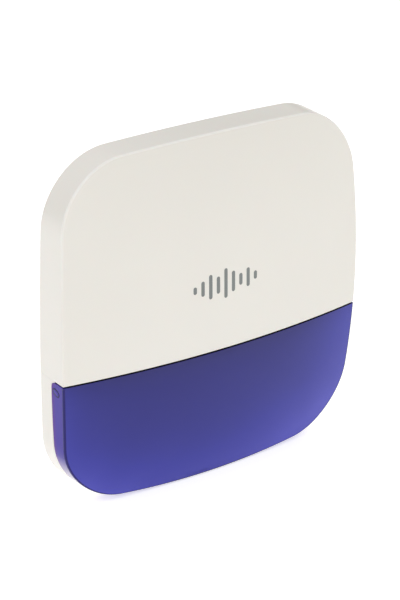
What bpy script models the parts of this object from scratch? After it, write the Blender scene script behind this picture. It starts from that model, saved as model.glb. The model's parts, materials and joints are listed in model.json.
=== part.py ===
"""Wall-mounted wireless alarm siren with a strobe, built as separate sub-parts.

Frame: metres, origin at the centre of the wall bracket's back face, +Y into the wall (the siren's
front faces -Y), +Z up, +X to the right of somebody looking at the front.
"""
import math

import bmesh
import bpy
from mathutils import Matrix, Vector

MM = 0.001
GAP = 0.3 * MM                       # clearance between neighbouring pieces

# Shell: a square with bulging sides, a slightly domed front and a strobe lens across the bottom
SHELL_HALF = 99.3 * MM               # half the width and half the height at the rear rim
SHELL_FRONT_HALF = 100 * MM          # the same at the front edge: the walls lean out slightly
REAR_RADIUS, REAR_BOW = 38.2 * MM, 2.4 * MM
FRONT_RADIUS, FRONT_BOW = 33.9 * MM, 5.4 * MM
SHELL_REAR_Y = -22 * MM
CROWN_Y = -53.4 * MM
CROWN_Z = -7 * MM                    # the dome's highest point is a little below the middle
DOME = 0.87                          # fall of the dome, metres per square metre of radius squared
SHELL_WALL = 2.4 * MM
EDGE_ROUND = 0.8 * MM                # small rounding where the wall meets the dome
SEAM_Z = -21.8 * MM                  # straight joint line between the cover and the lens
LENS_REAR_Y = -32.6 * MM             # the lens's side wall ends here, and the white band starts
LENS_CORNER = 3.5 * MM
ARC_STEPS, SIDE_STEPS = 7, 5

# Rear housing: a tray with a flange that fills the shell's open back
TUB_HALF, TUB_RADIUS, TUB_WALL = 78 * MM, 16 * MM, 2.4 * MM
TUB_REAR_Y = -6.3 * MM
FLOOR_Y = TUB_REAR_Y - TUB_WALL      # the tray's inner floor
FLANGE_REAR_Y, FLANGE_FRONT_Y = -22.4 * MM, -24.6 * MM
FLANGE_INSET = SHELL_WALL + 1.6 * MM

# Cover hinge along the top edge
HINGE_Y, HINGE_Z = FLANGE_REAR_Y, 93 * MM
HINGE_X = 45 * MM
PIN_RADIUS, PIN_LENGTH = 1.2 * MM, 12 * MM
HOOK_RADIUS, HOOK_WIDTH = 3.0 * MM, 5 * MM

# Wall bracket
BRACKET_HALF, BRACKET_RADIUS, BRACKET_THICK = 74 * MM, 14 * MM, 4 * MM
WALL_HOLE_X, WALL_HOLE_Z, WALL_HOLE_RADIUS = 58 * MM, 62 * MM, 2.6 * MM
HOOK_X, HOOK_Z = 50 * MM, 45 * MM
STEM_HALF_WIDTH, STEM_HEIGHT, LIP_HEIGHT = 6 * MM, 3 * MM, 6 * MM
SLOT_HEIGHT = 11 * MM
LOCK_Y = -14.5 * MM

# Boards
BOARD_THICK = 1.6 * MM
MAIN_BOARD = (-70 * MM, 24 * MM, 8 * MM, 70 * MM)          # x0, x1, z0, z1
MAIN_BOARD_Y = -18 * MM                                    # rear face
STROBE_BOARD = (-73 * MM, 73 * MM, -66 * MM, -42 * MM)
STROBE_BOARD_Y = -31 * MM
LED_COUNT = 6

# Sounder
INNER_REAR_Y = -12 * MM               # the sounder and the battery tray stand clear of the hooks
HORN_X, HORN_Z, HORN_RADIUS, HORN_DEPTH = -36 * MM, -34 * MM, 29 * MM, 15 * MM
SOUND_REAR_Y, SOUND_FRONT_Y = -15 * MM, -23 * MM
SOUND_SLOTS, SOUND_PITCH = 7, 6 * MM

# Battery tray: two columns of two lithium cells
CELL_RADIUS, CELL_LENGTH = 8.5 * MM, 34.5 * MM
TRAY = (30 * MM, 70 * MM, -11 * MM, 70 * MM)
TRAY_FRONT_Y, TRAY_WALL, TRAY_FLOOR = -26 * MM, 2 * MM, 1.6 * MM
CELL_Y = INNER_REAR_Y - TRAY_FLOOR - CELL_RADIUS - GAP
CONTACT_THICK = 0.6 * MM

# Snap catch that holds each side of the lens: an obround, tilted down towards the front
CATCH_Y, CATCH_Z = -38.3 * MM, SEAM_Z - 6.3 * MM
CATCH_LENGTH, CATCH_WIDTH, CATCH_TILT = 3.2 * MM, 2.6 * MM, math.radians(20)

# Tamper plunger, power slider and pairing button
TAMPER_X, TAMPER_Z = 46 * MM, -30 * MM
SLIDER_X, SLIDER_Z = -6 * MM, 16 * MM
BUTTON_X, BUTTON_Z = -30 * MM, 18 * MM

# Lens carrier: its ledge, the tabs that screw to the cover's bosses, and the cover's own screws
LEDGE_REAR_Y, LEDGE_FRONT_Y = -29.2 * MM, -31.6 * MM
TAB_REAR_Y, TAB_FRONT_Y, BOSS_END_Y = -33.5 * MM, -35.7 * MM, -36 * MM
CARRIER_SCREW_XS = (-60 * MM, 0.0, 60 * MM)
CARRIER_SCREW_Z = SEAM_Z + 10 * MM
COVER_SCREW_X, COVER_SCREW_Y = 30 * MM, -28.4 * MM

COLOURS = {                          # linear base colour, metallic, roughness
    "white_plastic": ((0.80, 0.78, 0.73), 0.0, 0.35),
    "grey_plastic": ((0.55, 0.56, 0.56), 0.0, 0.5),
    "black_plastic": ((0.03, 0.03, 0.035), 0.0, 0.45),
    "blue_lens": ((0.06, 0.06, 0.42), 0.0, 0.12),
    "gasket_rubber": ((0.05, 0.05, 0.05), 0.0, 0.8),
    "board_green": ((0.02, 0.16, 0.07), 0.0, 0.45),
    "steel": ((0.60, 0.60, 0.60), 1.0, 0.3),
    "brass": ((0.75, 0.55, 0.22), 1.0, 0.3),
    "led": ((0.85, 0.80, 0.55), 0.0, 0.3),
    "cell_wrap": ((0.10, 0.22, 0.30), 0.0, 0.35),
    "red_wire": ((0.55, 0.03, 0.02), 0.0, 0.5),
    "black_wire": ((0.02, 0.02, 0.02), 0.0, 0.5),
}


# ---------------------------------------------------------------- scene, materials, small helpers

def empty_scene():
    for old in list(bpy.data.objects):
        bpy.data.objects.remove(old)


def new_collection(name):
    group = bpy.data.collections.new(name)
    bpy.context.scene.collection.children.link(group)
    return group


def make_material(name):
    colour, metallic, roughness = COLOURS[name]
    material = bpy.data.materials.new(name)
    material.use_nodes = True
    shader = material.node_tree.nodes["Principled BSDF"]
    shader.inputs["Base Color"].default_value = (*colour, 1.0)
    shader.inputs["Metallic"].default_value = metallic
    shader.inputs["Roughness"].default_value = roughness
    return material


empty_scene()
PARTS = new_collection("alarm_siren")
CUTTERS = new_collection("cutters")
MATERIALS = {name: make_material(name) for name in COLOURS}


def add_object(name, mesh, group=CUTTERS):
    thing = bpy.data.objects.new(name, mesh)
    group.objects.link(thing)
    if group is CUTTERS:
        thing.hide_render = True
        thing.display_type = "WIRE"
    return thing


def from_bmesh(name, build):
    """A new hidden object whose mesh is what build(bm) makes."""
    bm = bmesh.new()
    build(bm)
    bmesh.ops.recalc_face_normals(bm, faces=bm.faces)
    mesh = bpy.data.meshes.new(name)
    bm.to_mesh(mesh)
    bm.free()
    return add_object(name, mesh)


def part(thing, name, material):
    """Turns a hidden solid into a named sub-part with its material."""
    CUTTERS.objects.unlink(thing)
    PARTS.objects.link(thing)
    thing.name = name
    thing.hide_render = False
    thing.display_type = "TEXTURED"
    thing.data.materials.clear()
    thing.data.materials.append(MATERIALS[material])
    thing.data.shade_smooth()
    thing.data.set_sharp_from_angle(angle=math.radians(35))
    return thing


def combine(target, tool, operation):
    step = target.modifiers.new(operation.lower(), "BOOLEAN")
    step.operation = operation
    step.solver = "EXACT"
    step.object = tool
    return target


def cut(target, *tools):
    for tool in tools:
        combine(target, tool, "DIFFERENCE")
    return target


def join(target, *tools):
    for tool in tools:
        combine(target, tool, "UNION")
    return target


def keep(target, tool):
    return combine(target, tool, "INTERSECT")


def box(low, high, bevel=0.0, segments=2):
    """A box between two corners, its edges rounded by bevel."""
    low, high = Vector(low), Vector(high)
    size, middle = high - low, (low + high) / 2

    def build(bm):
        bmesh.ops.create_cube(bm, size=1.0)
        bmesh.ops.scale(bm, vec=size, verts=bm.verts)
        bmesh.ops.translate(bm, vec=middle, verts=bm.verts)

    thing = from_bmesh("box", build)
    if bevel:
        rounding = thing.modifiers.new("bevel", "BEVEL")
        rounding.width = bevel
        rounding.segments = segments
    return thing


def rod(centre, radius, length, axis, sides=24, end_radius=None):
    """A cylinder or cone centred on a point, its length along axis X, Y or Z."""
    turn = {
        "X": Matrix.Rotation(math.pi / 2, 3, "Y"),
        "Y": Matrix.Rotation(math.pi / 2, 3, "X"),
        "Z": Matrix.Identity(3),
    }[axis]
    far_radius = radius if end_radius is None else end_radius

    def build(bm):
        bmesh.ops.create_cone(
            bm, cap_ends=True, segments=sides, radius1=radius, radius2=far_radius, depth=length
        )
        bmesh.ops.rotate(bm, matrix=turn, verts=bm.verts)
        bmesh.ops.translate(bm, vec=Vector(centre), verts=bm.verts)

    return from_bmesh("rod", build)


def turned(profile, centre, sides=40):
    """A turned solid about an axis along Y. profile is (radius, y) down the outer side and back."""
    mesh = bpy.data.meshes.new("turned")
    points = [(radius, 0.0, -y) for radius, y in profile]
    mesh.from_pydata(points, [(i, i + 1) for i in range(len(points) - 1)], [])
    thing = add_object("turned", mesh)
    thing.matrix_world = Matrix.Translation(Vector(centre)) @ Matrix.Rotation(math.pi / 2, 4, "X")
    screw = thing.modifiers.new("screw", "SCREW")
    screw.steps = screw.render_steps = sides
    screw.use_merge_vertices = True
    screw.merge_threshold = 0.00005
    screw.use_normal_calculate = True
    return thing


def curve_mesh(name, curve, matrix):
    """The closed mesh of a curve, with its caps welded on."""
    guide = bpy.data.objects.new(name, curve)
    CUTTERS.objects.link(guide)
    guide.matrix_world = matrix
    bpy.context.view_layer.update()
    graph = bpy.context.evaluated_depsgraph_get()
    mesh = bpy.data.meshes.new_from_object(guide.evaluated_get(graph))
    bpy.data.objects.remove(guide)
    bm = bmesh.new()
    bm.from_mesh(mesh)
    bmesh.ops.remove_doubles(bm, verts=bm.verts, dist=0.00002)
    bmesh.ops.recalc_face_normals(bm, faces=bm.faces)
    bm.to_mesh(mesh)
    bm.free()
    solid = add_object(name, mesh)
    solid.matrix_world = matrix
    return solid


def plate(outlines, y_rear, y_front):
    """A flat plate square to Y. The first outline is its edge and any others are holes in it."""
    curve = bpy.data.curves.new("plate", "CURVE")
    curve.dimensions = "2D"
    curve.fill_mode = "BOTH"
    curve.extrude = abs(y_rear - y_front) / 2
    for outline in outlines:
        spline = curve.splines.new("POLY")
        spline.points.add(len(outline) - 1)
        spline.use_cyclic_u = True
        for point, (x, z) in zip(spline.points, outline):
            point.co = (x, z, 0.0, 1.0)
    middle = (y_rear + y_front) / 2
    matrix = Matrix.Translation((0, middle, 0)) @ Matrix.Rotation(math.pi / 2, 4, "X")
    return curve_mesh("plate", curve, matrix)


def wire(points, radius):
    """A round wire along points, smoothed into a POLY spline."""
    curve = bpy.data.curves.new("wire", "CURVE")
    curve.dimensions = "3D"
    curve.bevel_depth = radius
    curve.bevel_resolution = 2
    curve.use_fill_caps = True
    spline = curve.splines.new("POLY")
    spline.points.add(len(points) - 1)
    for point, place in zip(spline.points, points):
        point.co = (*place, 1.0)
    return curve_mesh("wire", curve, Matrix.Identity(4))


def smooth_route(knots, steps=5):
    """Points along a Catmull-Rom curve through the knots."""
    ends = [2 * Vector(knots[0]) - Vector(knots[1]), 2 * Vector(knots[-1]) - Vector(knots[-2])]
    path = [ends[0]] + [Vector(k) for k in knots] + [ends[1]]
    points = []
    for a, b, c, d in zip(path, path[1:], path[2:], path[3:]):
        for step in range(steps):
            t = step / steps
            points.append(0.5 * (2 * b + (c - a) * t + (2 * a - 5 * b + 4 * c - d) * t ** 2
                                 + (3 * b - a - 3 * c + d) * t ** 3))
    return points + [Vector(knots[-1])]


# ---------------------------------------------------------------- outlines and the shell's form

def bowed_outline(half, radius, bow, arc_steps=ARC_STEPS, side_steps=SIDE_STEPS):
    """A rounded square as (x, z) points, whose sides bulge out by bow up to half the size."""
    flat = half - bow
    centre = flat - radius
    corners = [(1, 1), (-1, 1), (-1, -1), (1, -1)]
    points = []
    for quarter, (side_x, side_z) in enumerate(corners):
        start = quarter * math.pi / 2
        for step in range(arc_steps + 1):
            angle = start + step / arc_steps * math.pi / 2
            points.append((side_x * centre + radius * math.cos(angle),
                           side_z * centre + radius * math.sin(angle)))
        next_x, next_z = corners[(quarter + 1) % 4]
        begin = points[-1]
        angle = start + math.pi / 2
        finish = (next_x * centre + radius * math.cos(angle), next_z * centre + radius * math.sin(angle))
        for step in range(1, side_steps):
            t = step / side_steps
            points.append((begin[0] + (finish[0] - begin[0]) * t, begin[1] + (finish[1] - begin[1]) * t))
    return [(x + bow * (x / flat) * (1 - (z / flat) ** 2), z + bow * (z / flat) * (1 - (x / flat) ** 2))
            for x, z in points]


def rounded_square(half, radius):
    return bowed_outline(half, radius, 0.0, arc_steps=5, side_steps=1)


def circle(x, z, radius, sides=20):
    return [(x + radius * math.cos(2 * math.pi * i / sides), z + radius * math.sin(2 * math.pi * i / sides))
            for i in range(sides)]


def rectangle(x0, x1, z0, z1):
    return [(x0, z0), (x1, z0), (x1, z1), (x0, z1)]


def dome_y(x, z, depth=0.0):
    """The dome's surface, or the surface depth behind it."""
    return CROWN_Y + depth + DOME * (x * x + (z - CROWN_Z) ** 2)


def flat_ring(outline, y):
    return [Vector((x, y, z)) for x, z in outline]


def dome_ring(outline, scale, depth=0.0):
    return [Vector((x * scale, dome_y(x * scale, z * scale, depth), z * scale)) for x, z in outline]


def shell_rings(inset):
    """Rings of the shell's surface from its rear rim to the middle, inset by a wall's thickness."""
    rear = bowed_outline(SHELL_HALF - inset, REAR_RADIUS - inset, REAR_BOW)
    front = bowed_outline(SHELL_FRONT_HALF - inset, FRONT_RADIUS - inset, FRONT_BOW)
    rim = dome_ring(front, 1.0, inset)
    side = [point + Vector((0, EDGE_ROUND, 0)) for point in rim]
    shoulder = 1 - EDGE_ROUND / SHELL_FRONT_HALF
    rings = [flat_ring(rear, SHELL_REAR_Y), side]
    rings += [dome_ring(front, shoulder, inset)]
    rings += [dome_ring(front, scale, inset) for scale in (0.82, 0.6, 0.35)]
    return rings


def make_shell():
    """The whole shell before it is divided: wall and dome, open at the back."""
    outer, inner = shell_rings(0.0), shell_rings(SHELL_WALL)
    rings = outer[::-1] + inner

    def build(bm):
        rows = [[bm.verts.new(point) for point in ring] for ring in rings]
        count = len(rows[0])
        for row, following in zip(rows, rows[1:]):
            for i in range(count):
                j = (i + 1) % count
                bm.faces.new((row[i], row[j], following[j], following[i]))
        for row, depth in ((rows[0], 0.0), (rows[-1], SHELL_WALL)):
            tip = bm.verts.new((0, dome_y(0, 0, depth), 0))
            for i in range(count):
                bm.faces.new((row[i], row[(i + 1) % count], tip))

    return from_bmesh("shell", build)


def lens_zone(grow):
    """The space of the lens: below the seam and in front of the band, its rear edge rounded."""
    far = 120 * MM
    zone = box((-far, -far, -far), (far, LENS_REAR_Y + grow, SEAM_Z + grow))
    rounding = zone.modifiers.new("corner", "BEVEL")
    rounding.width = LENS_CORNER
    rounding.segments = 4
    return zone


def catch_shape(side, grow, x_in, x_out):
    """An obround bar along X, tilted in the YZ plane, for the lens's snap catch."""
    middle = Vector((side * (x_in + x_out) / 2, CATCH_Y, CATCH_Z))
    reach = Vector((0, -math.cos(CATCH_TILT), -math.sin(CATCH_TILT))) * CATCH_LENGTH / 2
    bar = rod((0, 0, 0), CATCH_WIDTH / 2 + grow, x_out - x_in, "X", sides=16)
    for vertex in bar.data.vertices:
        vertex.co += middle + (reach if vertex.co.dot(reach) > 0 else -reach)
    return bar


# ---------------------------------------------------------------- cover body

def make_front_cover():
    cover = make_shell()
    far = 120 * MM
    cut(cover, box((-far, -far, -far), (far, far, SEAM_Z)))
    wall_inside = SHELL_HALF - SHELL_WALL + 0.6 * MM
    for side in (-1, 1):
        x = side * HINGE_X
        half = HOOK_WIDTH / 2
        hook = rod((x, HINGE_Y, HINGE_Z), HOOK_RADIUS, HOOK_WIDTH, "X", sides=24)
        web = box((x - half, HINGE_Y - HOOK_RADIUS, HINGE_Z), (x + half, HINGE_Y, wall_inside))
        brace = box((x - half, HINGE_Y - 10 * MM, HINGE_Z + 1.6 * MM),
                    (x + half, HINGE_Y - 2 * MM, wall_inside - 1 * MM))
        join(cover, hook, web, brace)
        cut(cover, rod((x, HINGE_Y, HINGE_Z), PIN_RADIUS + GAP, HOOK_WIDTH + 2 * MM, "X", sides=20))
    for x in CARRIER_SCREW_XS:
        z = CARRIER_SCREW_Z
        front = dome_y(x, z, SHELL_WALL / 2)
        boss = rod((x, (front + BOSS_END_Y) / 2, z), 3.2 * MM, BOSS_END_Y - front, "Y", sides=20)
        join(cover, boss)
        cut(cover, rod((x, BOSS_END_Y - 2 * MM, z), 1.0 * MM, 5 * MM, "Y", sides=12))
    return part(cover, "front_cover", "white_plastic")


def make_strobe_lens():
    lens = keep(make_shell(), lens_zone(-GAP))
    for side in (-1, 1):
        cut(lens, catch_shape(side, GAP, 90 * MM, 104 * MM))
    return part(lens, "strobe_lens", "blue_lens")


def make_lens_carrier():
    """The white frame that the lens clips to: the band below the seam, a ledge and a top wall."""
    far = 120 * MM
    below = SEAM_Z - GAP
    carrier = make_shell()
    keep(carrier, box((-far, -far, -far), (far, far, below)))
    cut(carrier, lens_zone(GAP / 2))
    ledge_edge = bowed_outline(SHELL_HALF, REAR_RADIUS, REAR_BOW)
    window = bowed_outline(88 * MM, 27 * MM, REAR_BOW)
    ledge = plate([ledge_edge, window], LEDGE_REAR_Y, LEDGE_FRONT_Y)
    keep(ledge, make_shell_core(SHELL_WALL / 2))
    cut(ledge, box((-far, -far, below), (far, far, far)))
    top = box((-94 * MM, -52 * MM, below - 2.2 * MM), (94 * MM, LEDGE_REAR_Y, below))
    inside = make_shell_core(SHELL_WALL + 0.5 * MM)
    keep(top, inside)
    join(carrier, ledge, top)
    tab_top = SEAM_Z + 14 * MM
    for x in CARRIER_SCREW_XS:
        tab = box((x - 5 * MM, TAB_FRONT_Y, below - 1 * MM), (x + 5 * MM, TAB_REAR_Y, tab_top))
        join(carrier, tab)
        cut(carrier, rod((x, TAB_REAR_Y, CARRIER_SCREW_Z), 1.5 * MM, 9 * MM, "Y", sides=16))
    for side in (-1, 1):
        lug = box((side * 93 * MM - 1.5 * MM, -42 * MM, below - 10 * MM),
                  (side * 93 * MM + 1.5 * MM, -31 * MM, below - 0.5 * MM))
        join(carrier, lug, catch_shape(side, 0.0, 92.5 * MM, 99.2 * MM))
        x = side * COVER_SCREW_X
        post = rod((x, COVER_SCREW_Y, -95.6 * MM), 3.5 * MM, 6 * MM, "Z", sides=24)
        join(carrier, post)
        cut(carrier, rod((x, COVER_SCREW_Y, -99.5 * MM), 2.8 * MM, 5 * MM, "Z", sides=24))
        cut(carrier, rod((x, COVER_SCREW_Y, -94 * MM), 1.8 * MM, 16 * MM, "Z", sides=16))
    return part(carrier, "lens_carrier", "white_plastic")


def make_shell_core(inset):
    """A solid that fills the shell's inside, inset from its outer surface."""
    rings = shell_rings(inset)

    def build(bm):
        rows = [[bm.verts.new(point) for point in ring] for ring in rings]
        count = len(rows[0])
        for row, following in zip(rows, rows[1:]):
            for i in range(count):
                j = (i + 1) % count
                bm.faces.new((row[i], row[j], following[j], following[i]))
        bm.faces.new(rows[0])
        tip = bm.verts.new((0, dome_y(0, 0, inset), 0))
        for i in range(count):
            bm.faces.new((rows[-1][i], rows[-1][(i + 1) % count], tip))

    return from_bmesh("core", build)


def make_screw(name, head, direction, axis, head_radius=2.8 * MM, shank_radius=1.4 * MM, length=9 * MM):
    """A pan-head screw. head is the head's outer face and direction is where its shank points."""
    head, direction = Vector(head), Vector(direction)
    cap = 1.8 * MM
    screw = rod(head + direction * cap / 2, head_radius, cap, axis, sides=18)
    shank_middle = head + direction * (cap + length) / 2
    join(screw, rod(shank_middle, shank_radius, length + cap - 0.4 * MM, axis, sides=12))
    across = {"X": (1, 2), "Y": (0, 2), "Z": (0, 1)}[axis]
    for long_way in across:
        reach = Vector((0.35, 0.35, 0.35)) * MM
        reach[long_way] = head_radius * 0.62
        reach["XYZ".index(axis)] = 0.9 * MM
        cut(screw, box(head - reach, head + reach))
    return part(screw, name, "steel")


# ---------------------------------------------------------------- housing body

def make_housing_flange():
    edge = bowed_outline(SHELL_HALF - FLANGE_INSET, REAR_RADIUS - FLANGE_INSET, REAR_BOW)
    return plate([edge], FLANGE_REAR_Y, FLANGE_FRONT_Y)


def bracket_slots():
    """Openings in the tray's back that the bracket's hooks pass through."""
    slots = []
    for x in (-HOOK_X, HOOK_X):
        for z in (-HOOK_Z, HOOK_Z):
            wide = STEM_HALF_WIDTH + 1 * MM
            low = z - SLOT_HEIGHT + GAP
            slots.append(box((x - wide, TUB_REAR_Y - 5 * MM, low),
                             (x + wide, TUB_REAR_Y + 2 * MM, z + GAP)))
    return slots


def make_rear_housing():
    housing = make_housing_flange()
    tub = plate([rounded_square(TUB_HALF, TUB_RADIUS)], TUB_REAR_Y, FLANGE_FRONT_Y)
    hollow_half, hollow_radius = TUB_HALF - TUB_WALL, TUB_RADIUS - TUB_WALL
    hollow = plate([rounded_square(hollow_half, hollow_radius)], FLOOR_Y, FLANGE_FRONT_Y - 5 * MM)
    join(housing, tub)
    cut(housing, hollow)
    cut(housing, *bracket_slots())
    add_board_posts(housing)
    add_standoffs(housing)
    add_hinge_lugs(housing)
    add_housing_fastenings(housing)
    for i in range(SOUND_SLOTS):
        x = HORN_X + (i - (SOUND_SLOTS - 1) / 2) * SOUND_PITCH
        cut(housing, box((x - 1.5 * MM, SOUND_FRONT_Y + 1 * MM, -TUB_HALF - 2 * MM),
                         (x + 1.5 * MM, SOUND_REAR_Y, -TUB_HALF + 5 * MM)))
    cut(housing, rod((TAMPER_X, FLOOR_Y, TAMPER_Z), 2.4 * MM, 8 * MM, "Y", sides=20))
    return part(housing, "rear_housing", "white_plastic")


def board_post_places():
    x0, x1, z0, z1 = MAIN_BOARD
    inset = 4 * MM
    corners = [(x, z) for x in (x0 + inset, x1 - inset) for z in (z0 + inset, z1 - inset)]
    sides = [(STROBE_BOARD[0] + 4 * MM, -54 * MM), (STROBE_BOARD[1] - 4 * MM, -54 * MM)]
    return corners, sides


def add_board_posts(housing):
    corners, sides = board_post_places()
    for places, board_y in ((corners, MAIN_BOARD_Y), (sides, STROBE_BOARD_Y)):
        top = board_y + GAP
        for x, z in places:
            length = abs(top - FLOOR_Y) + 1 * MM
            post = rod((x, top + length / 2, z), 2.8 * MM, length, "Y", sides=16)
            join(housing, post)
            cut(housing, rod((x, top + 2 * MM, z), 1.3 * MM, 9 * MM, "Y", sides=12))


def add_standoffs(housing):
    """Pads that the sounder and the battery tray stand on."""
    top = INNER_REAR_Y + GAP
    length = abs(top - FLOOR_Y) + 1 * MM
    for x, z, radius in ((HORN_X, HORN_Z, 9 * MM), (37 * MM, 8 * MM, 3 * MM), (63 * MM, 8 * MM, 3 * MM)):
        join(housing, rod((x, top + length / 2, z), radius, length, "Y", sides=20))


def add_hinge_lugs(housing):
    """Two ears each side of a cover hook, with the pin's hole, and a notch for the hook itself."""
    ear = 2.6 * MM
    notch_half = HOOK_WIDTH / 2 + 0.7 * MM
    for side in (-1, 1):
        x = side * HINGE_X
        for inner in (-1, 1):
            middle = x + inner * (notch_half + ear / 2)
            join(housing, box((middle - ear / 2, FLANGE_FRONT_Y + 0.6 * MM, HINGE_Z - 4 * MM),
                              (middle + ear / 2, HINGE_Y + 2.2 * MM, HINGE_Z + 2.3 * MM)))
        cut(housing, box((x - notch_half, -30 * MM, HINGE_Z - 4.2 * MM),
                         (x + notch_half, -15 * MM, 105 * MM)))
        cut(housing, rod((x, HINGE_Y, HINGE_Z), PIN_RADIUS + 0.05 * MM, 30 * MM, "X", sides=20))


def add_housing_fastenings(housing):
    """The lock screw's boss under the tray, and open-fronted blocks for the cover's screws."""
    boss = rod((0, LOCK_Y, -73 * MM), 3.6 * MM, 8 * MM, "Z", sides=20)
    join(housing, boss)
    cut(housing, rod((0, LOCK_Y, -74.5 * MM), 1.7 * MM, 9 * MM, "Z", sides=16))
    for side in (-1, 1):
        x = side * COVER_SCREW_X
        join(housing, box((x - 5 * MM, COVER_SCREW_Y - 3.1 * MM, -87 * MM),
                          (x + 5 * MM, FLANGE_REAR_Y - 1 * MM, -83.2 * MM)))
        cut(housing, box((x - 1.8 * MM, -40 * MM, -90 * MM),
                         (x + 1.8 * MM, COVER_SCREW_Y + 1.8 * MM, -82 * MM)))


def make_gasket():
    """A seal on the flange, just outside the tray's opening."""
    outer = bowed_outline(82 * MM, 17 * MM, REAR_BOW)
    inner = bowed_outline(79.8 * MM, 14.8 * MM, REAR_BOW)
    gasket = plate([outer, inner], FLANGE_FRONT_Y - GAP, FLANGE_FRONT_Y - 2.4 * MM)
    return part(gasket, "housing_gasket", "gasket_rubber")


def make_hinge_pins():
    for name, side in (("hinge_pin_left", -1), ("hinge_pin_right", 1)):
        pin = rod((side * HINGE_X, HINGE_Y, HINGE_Z), PIN_RADIUS, PIN_LENGTH, "X", sides=18)
        part(pin, name, "steel")


def make_main_board():
    x0, x1, z0, z1 = MAIN_BOARD
    board = plate([rectangle(x0, x1, z0, z1)], MAIN_BOARD_Y, MAIN_BOARD_Y - BOARD_THICK)
    corners, _ = board_post_places()
    for i, (x, z) in enumerate(corners):
        cut(board, rod((x, MAIN_BOARD_Y, z), 1.7 * MM, 8 * MM, "Y", sides=14))
        head = (x, MAIN_BOARD_Y - BOARD_THICK - 1.8 * MM - GAP, z)
        make_screw(f"main_board_screw_{i + 1}", head, (0, 1, 0), "Y", 2.6 * MM, 1.0 * MM, 5 * MM)
    part(board, "main_board", "board_green")
    front = MAIN_BOARD_Y - BOARD_THICK - GAP
    shield = box((-60 * MM, front - 2.4 * MM, 40 * MM), (-36 * MM, front, 62 * MM), bevel=0.4 * MM)
    part(shield, "radio_shield", "steel")
    chip = box((-26 * MM, front - 1.6 * MM, 38 * MM), (-12 * MM, front, 52 * MM))
    part(chip, "controller_chip", "black_plastic")
    socket = box((-8 * MM, front - 6 * MM, 40 * MM), (4 * MM, front, 46 * MM))
    cut(socket, box((-7 * MM, front - 7 * MM, 41 * MM), (3 * MM, front - 1.2 * MM, 45 * MM)))
    part(socket, "battery_socket", "white_plastic")
    aerial = [(-64 * MM + 2.2 * MM * math.cos(a), front - 1.4 * MM - 2.6 * MM - 2.2 * MM * math.sin(a),
               28 * MM + a * 1.1 * MM) for a in [i * math.pi / 5 for i in range(31)]]
    part(wire(aerial, 0.5 * MM), "aerial_coil", "brass")


def led_places():
    x0, x1, _, _ = STROBE_BOARD
    step = (x1 - x0) / LED_COUNT
    return [x0 + step * (i + 0.5) for i in range(LED_COUNT)]


def make_strobe_board():
    board = plate([rectangle(*STROBE_BOARD)], STROBE_BOARD_Y, STROBE_BOARD_Y - BOARD_THICK)
    _, sides = board_post_places()
    for i, (x, z) in enumerate(sides):
        cut(board, rod((x, STROBE_BOARD_Y, z), 1.7 * MM, 8 * MM, "Y", sides=14))
        head = (x, STROBE_BOARD_Y - BOARD_THICK - 1.8 * MM - GAP, z)
        make_screw(f"strobe_board_screw_{i + 1}", head, (0, 1, 0), "Y", 2.6 * MM, 1.0 * MM, 5 * MM)
    part(board, "strobe_board", "board_green")
    front = STROBE_BOARD_Y - BOARD_THICK - GAP
    for i, x in enumerate(led_places()):
        base = box((x - 3 * MM, front - 1.4 * MM, -57 * MM), (x + 3 * MM, front, -51 * MM))
        lens = rod((x, front - 1.9 * MM, -54 * MM), 1.5 * MM, 1.6 * MM, "Y", sides=18, end_radius=2.5 * MM)
        join(base, lens)
        part(base, f"strobe_led_{i + 1}", "led")


def make_sounder():
    rear = INNER_REAR_Y
    front = rear - HORN_DEPTH
    outer, wall, lip = HORN_RADIUS, 2 * MM, 24 * MM
    profile = [
        (0.0, rear), (outer, rear), (outer, front), (lip, front), (lip, front + 3 * MM),
        (outer - wall, front + 3 * MM), (outer - wall, rear - wall), (0.0, rear - wall),
    ]
    # The profile runs down the outer side towards the floor, then back up inside
    cup = turned([(radius, y) for radius, y in profile[::-1]], (HORN_X, 0, HORN_Z))
    cut(cup, box((HORN_X - 12 * MM, SOUND_FRONT_Y + 1 * MM, HORN_Z - outer - 4 * MM),
                 (HORN_X + 12 * MM, SOUND_REAR_Y, HORN_Z - outer + 6 * MM)))
    part(cup, "sounder_cup", "black_plastic")
    disc = rod((HORN_X, front + 3.9 * MM, HORN_Z), outer - wall - 0.6 * MM, 0.5 * MM, "Y", sides=40)
    part(disc, "piezo_disc", "brass")
    ring_outer, ring_inner = circle(HORN_X, HORN_Z, outer, 40), circle(HORN_X, HORN_Z, 20 * MM, 40)
    ring = plate([ring_outer, ring_inner], front - GAP, front - 1.6 * MM)
    part(ring, "sounder_ring", "grey_plastic")
    duct = box((HORN_X - 14 * MM, SOUND_FRONT_Y - 1 * MM, -75.2 * MM),
               (HORN_X + 14 * MM, SOUND_REAR_Y + 2 * MM, HORN_Z - outer - 0.6 * MM))
    cut(duct, box((HORN_X - 12 * MM, SOUND_FRONT_Y + 1 * MM, -80 * MM),
                  (HORN_X + 12 * MM, SOUND_REAR_Y, HORN_Z)))
    part(duct, "sound_duct", "black_plastic")


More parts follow.
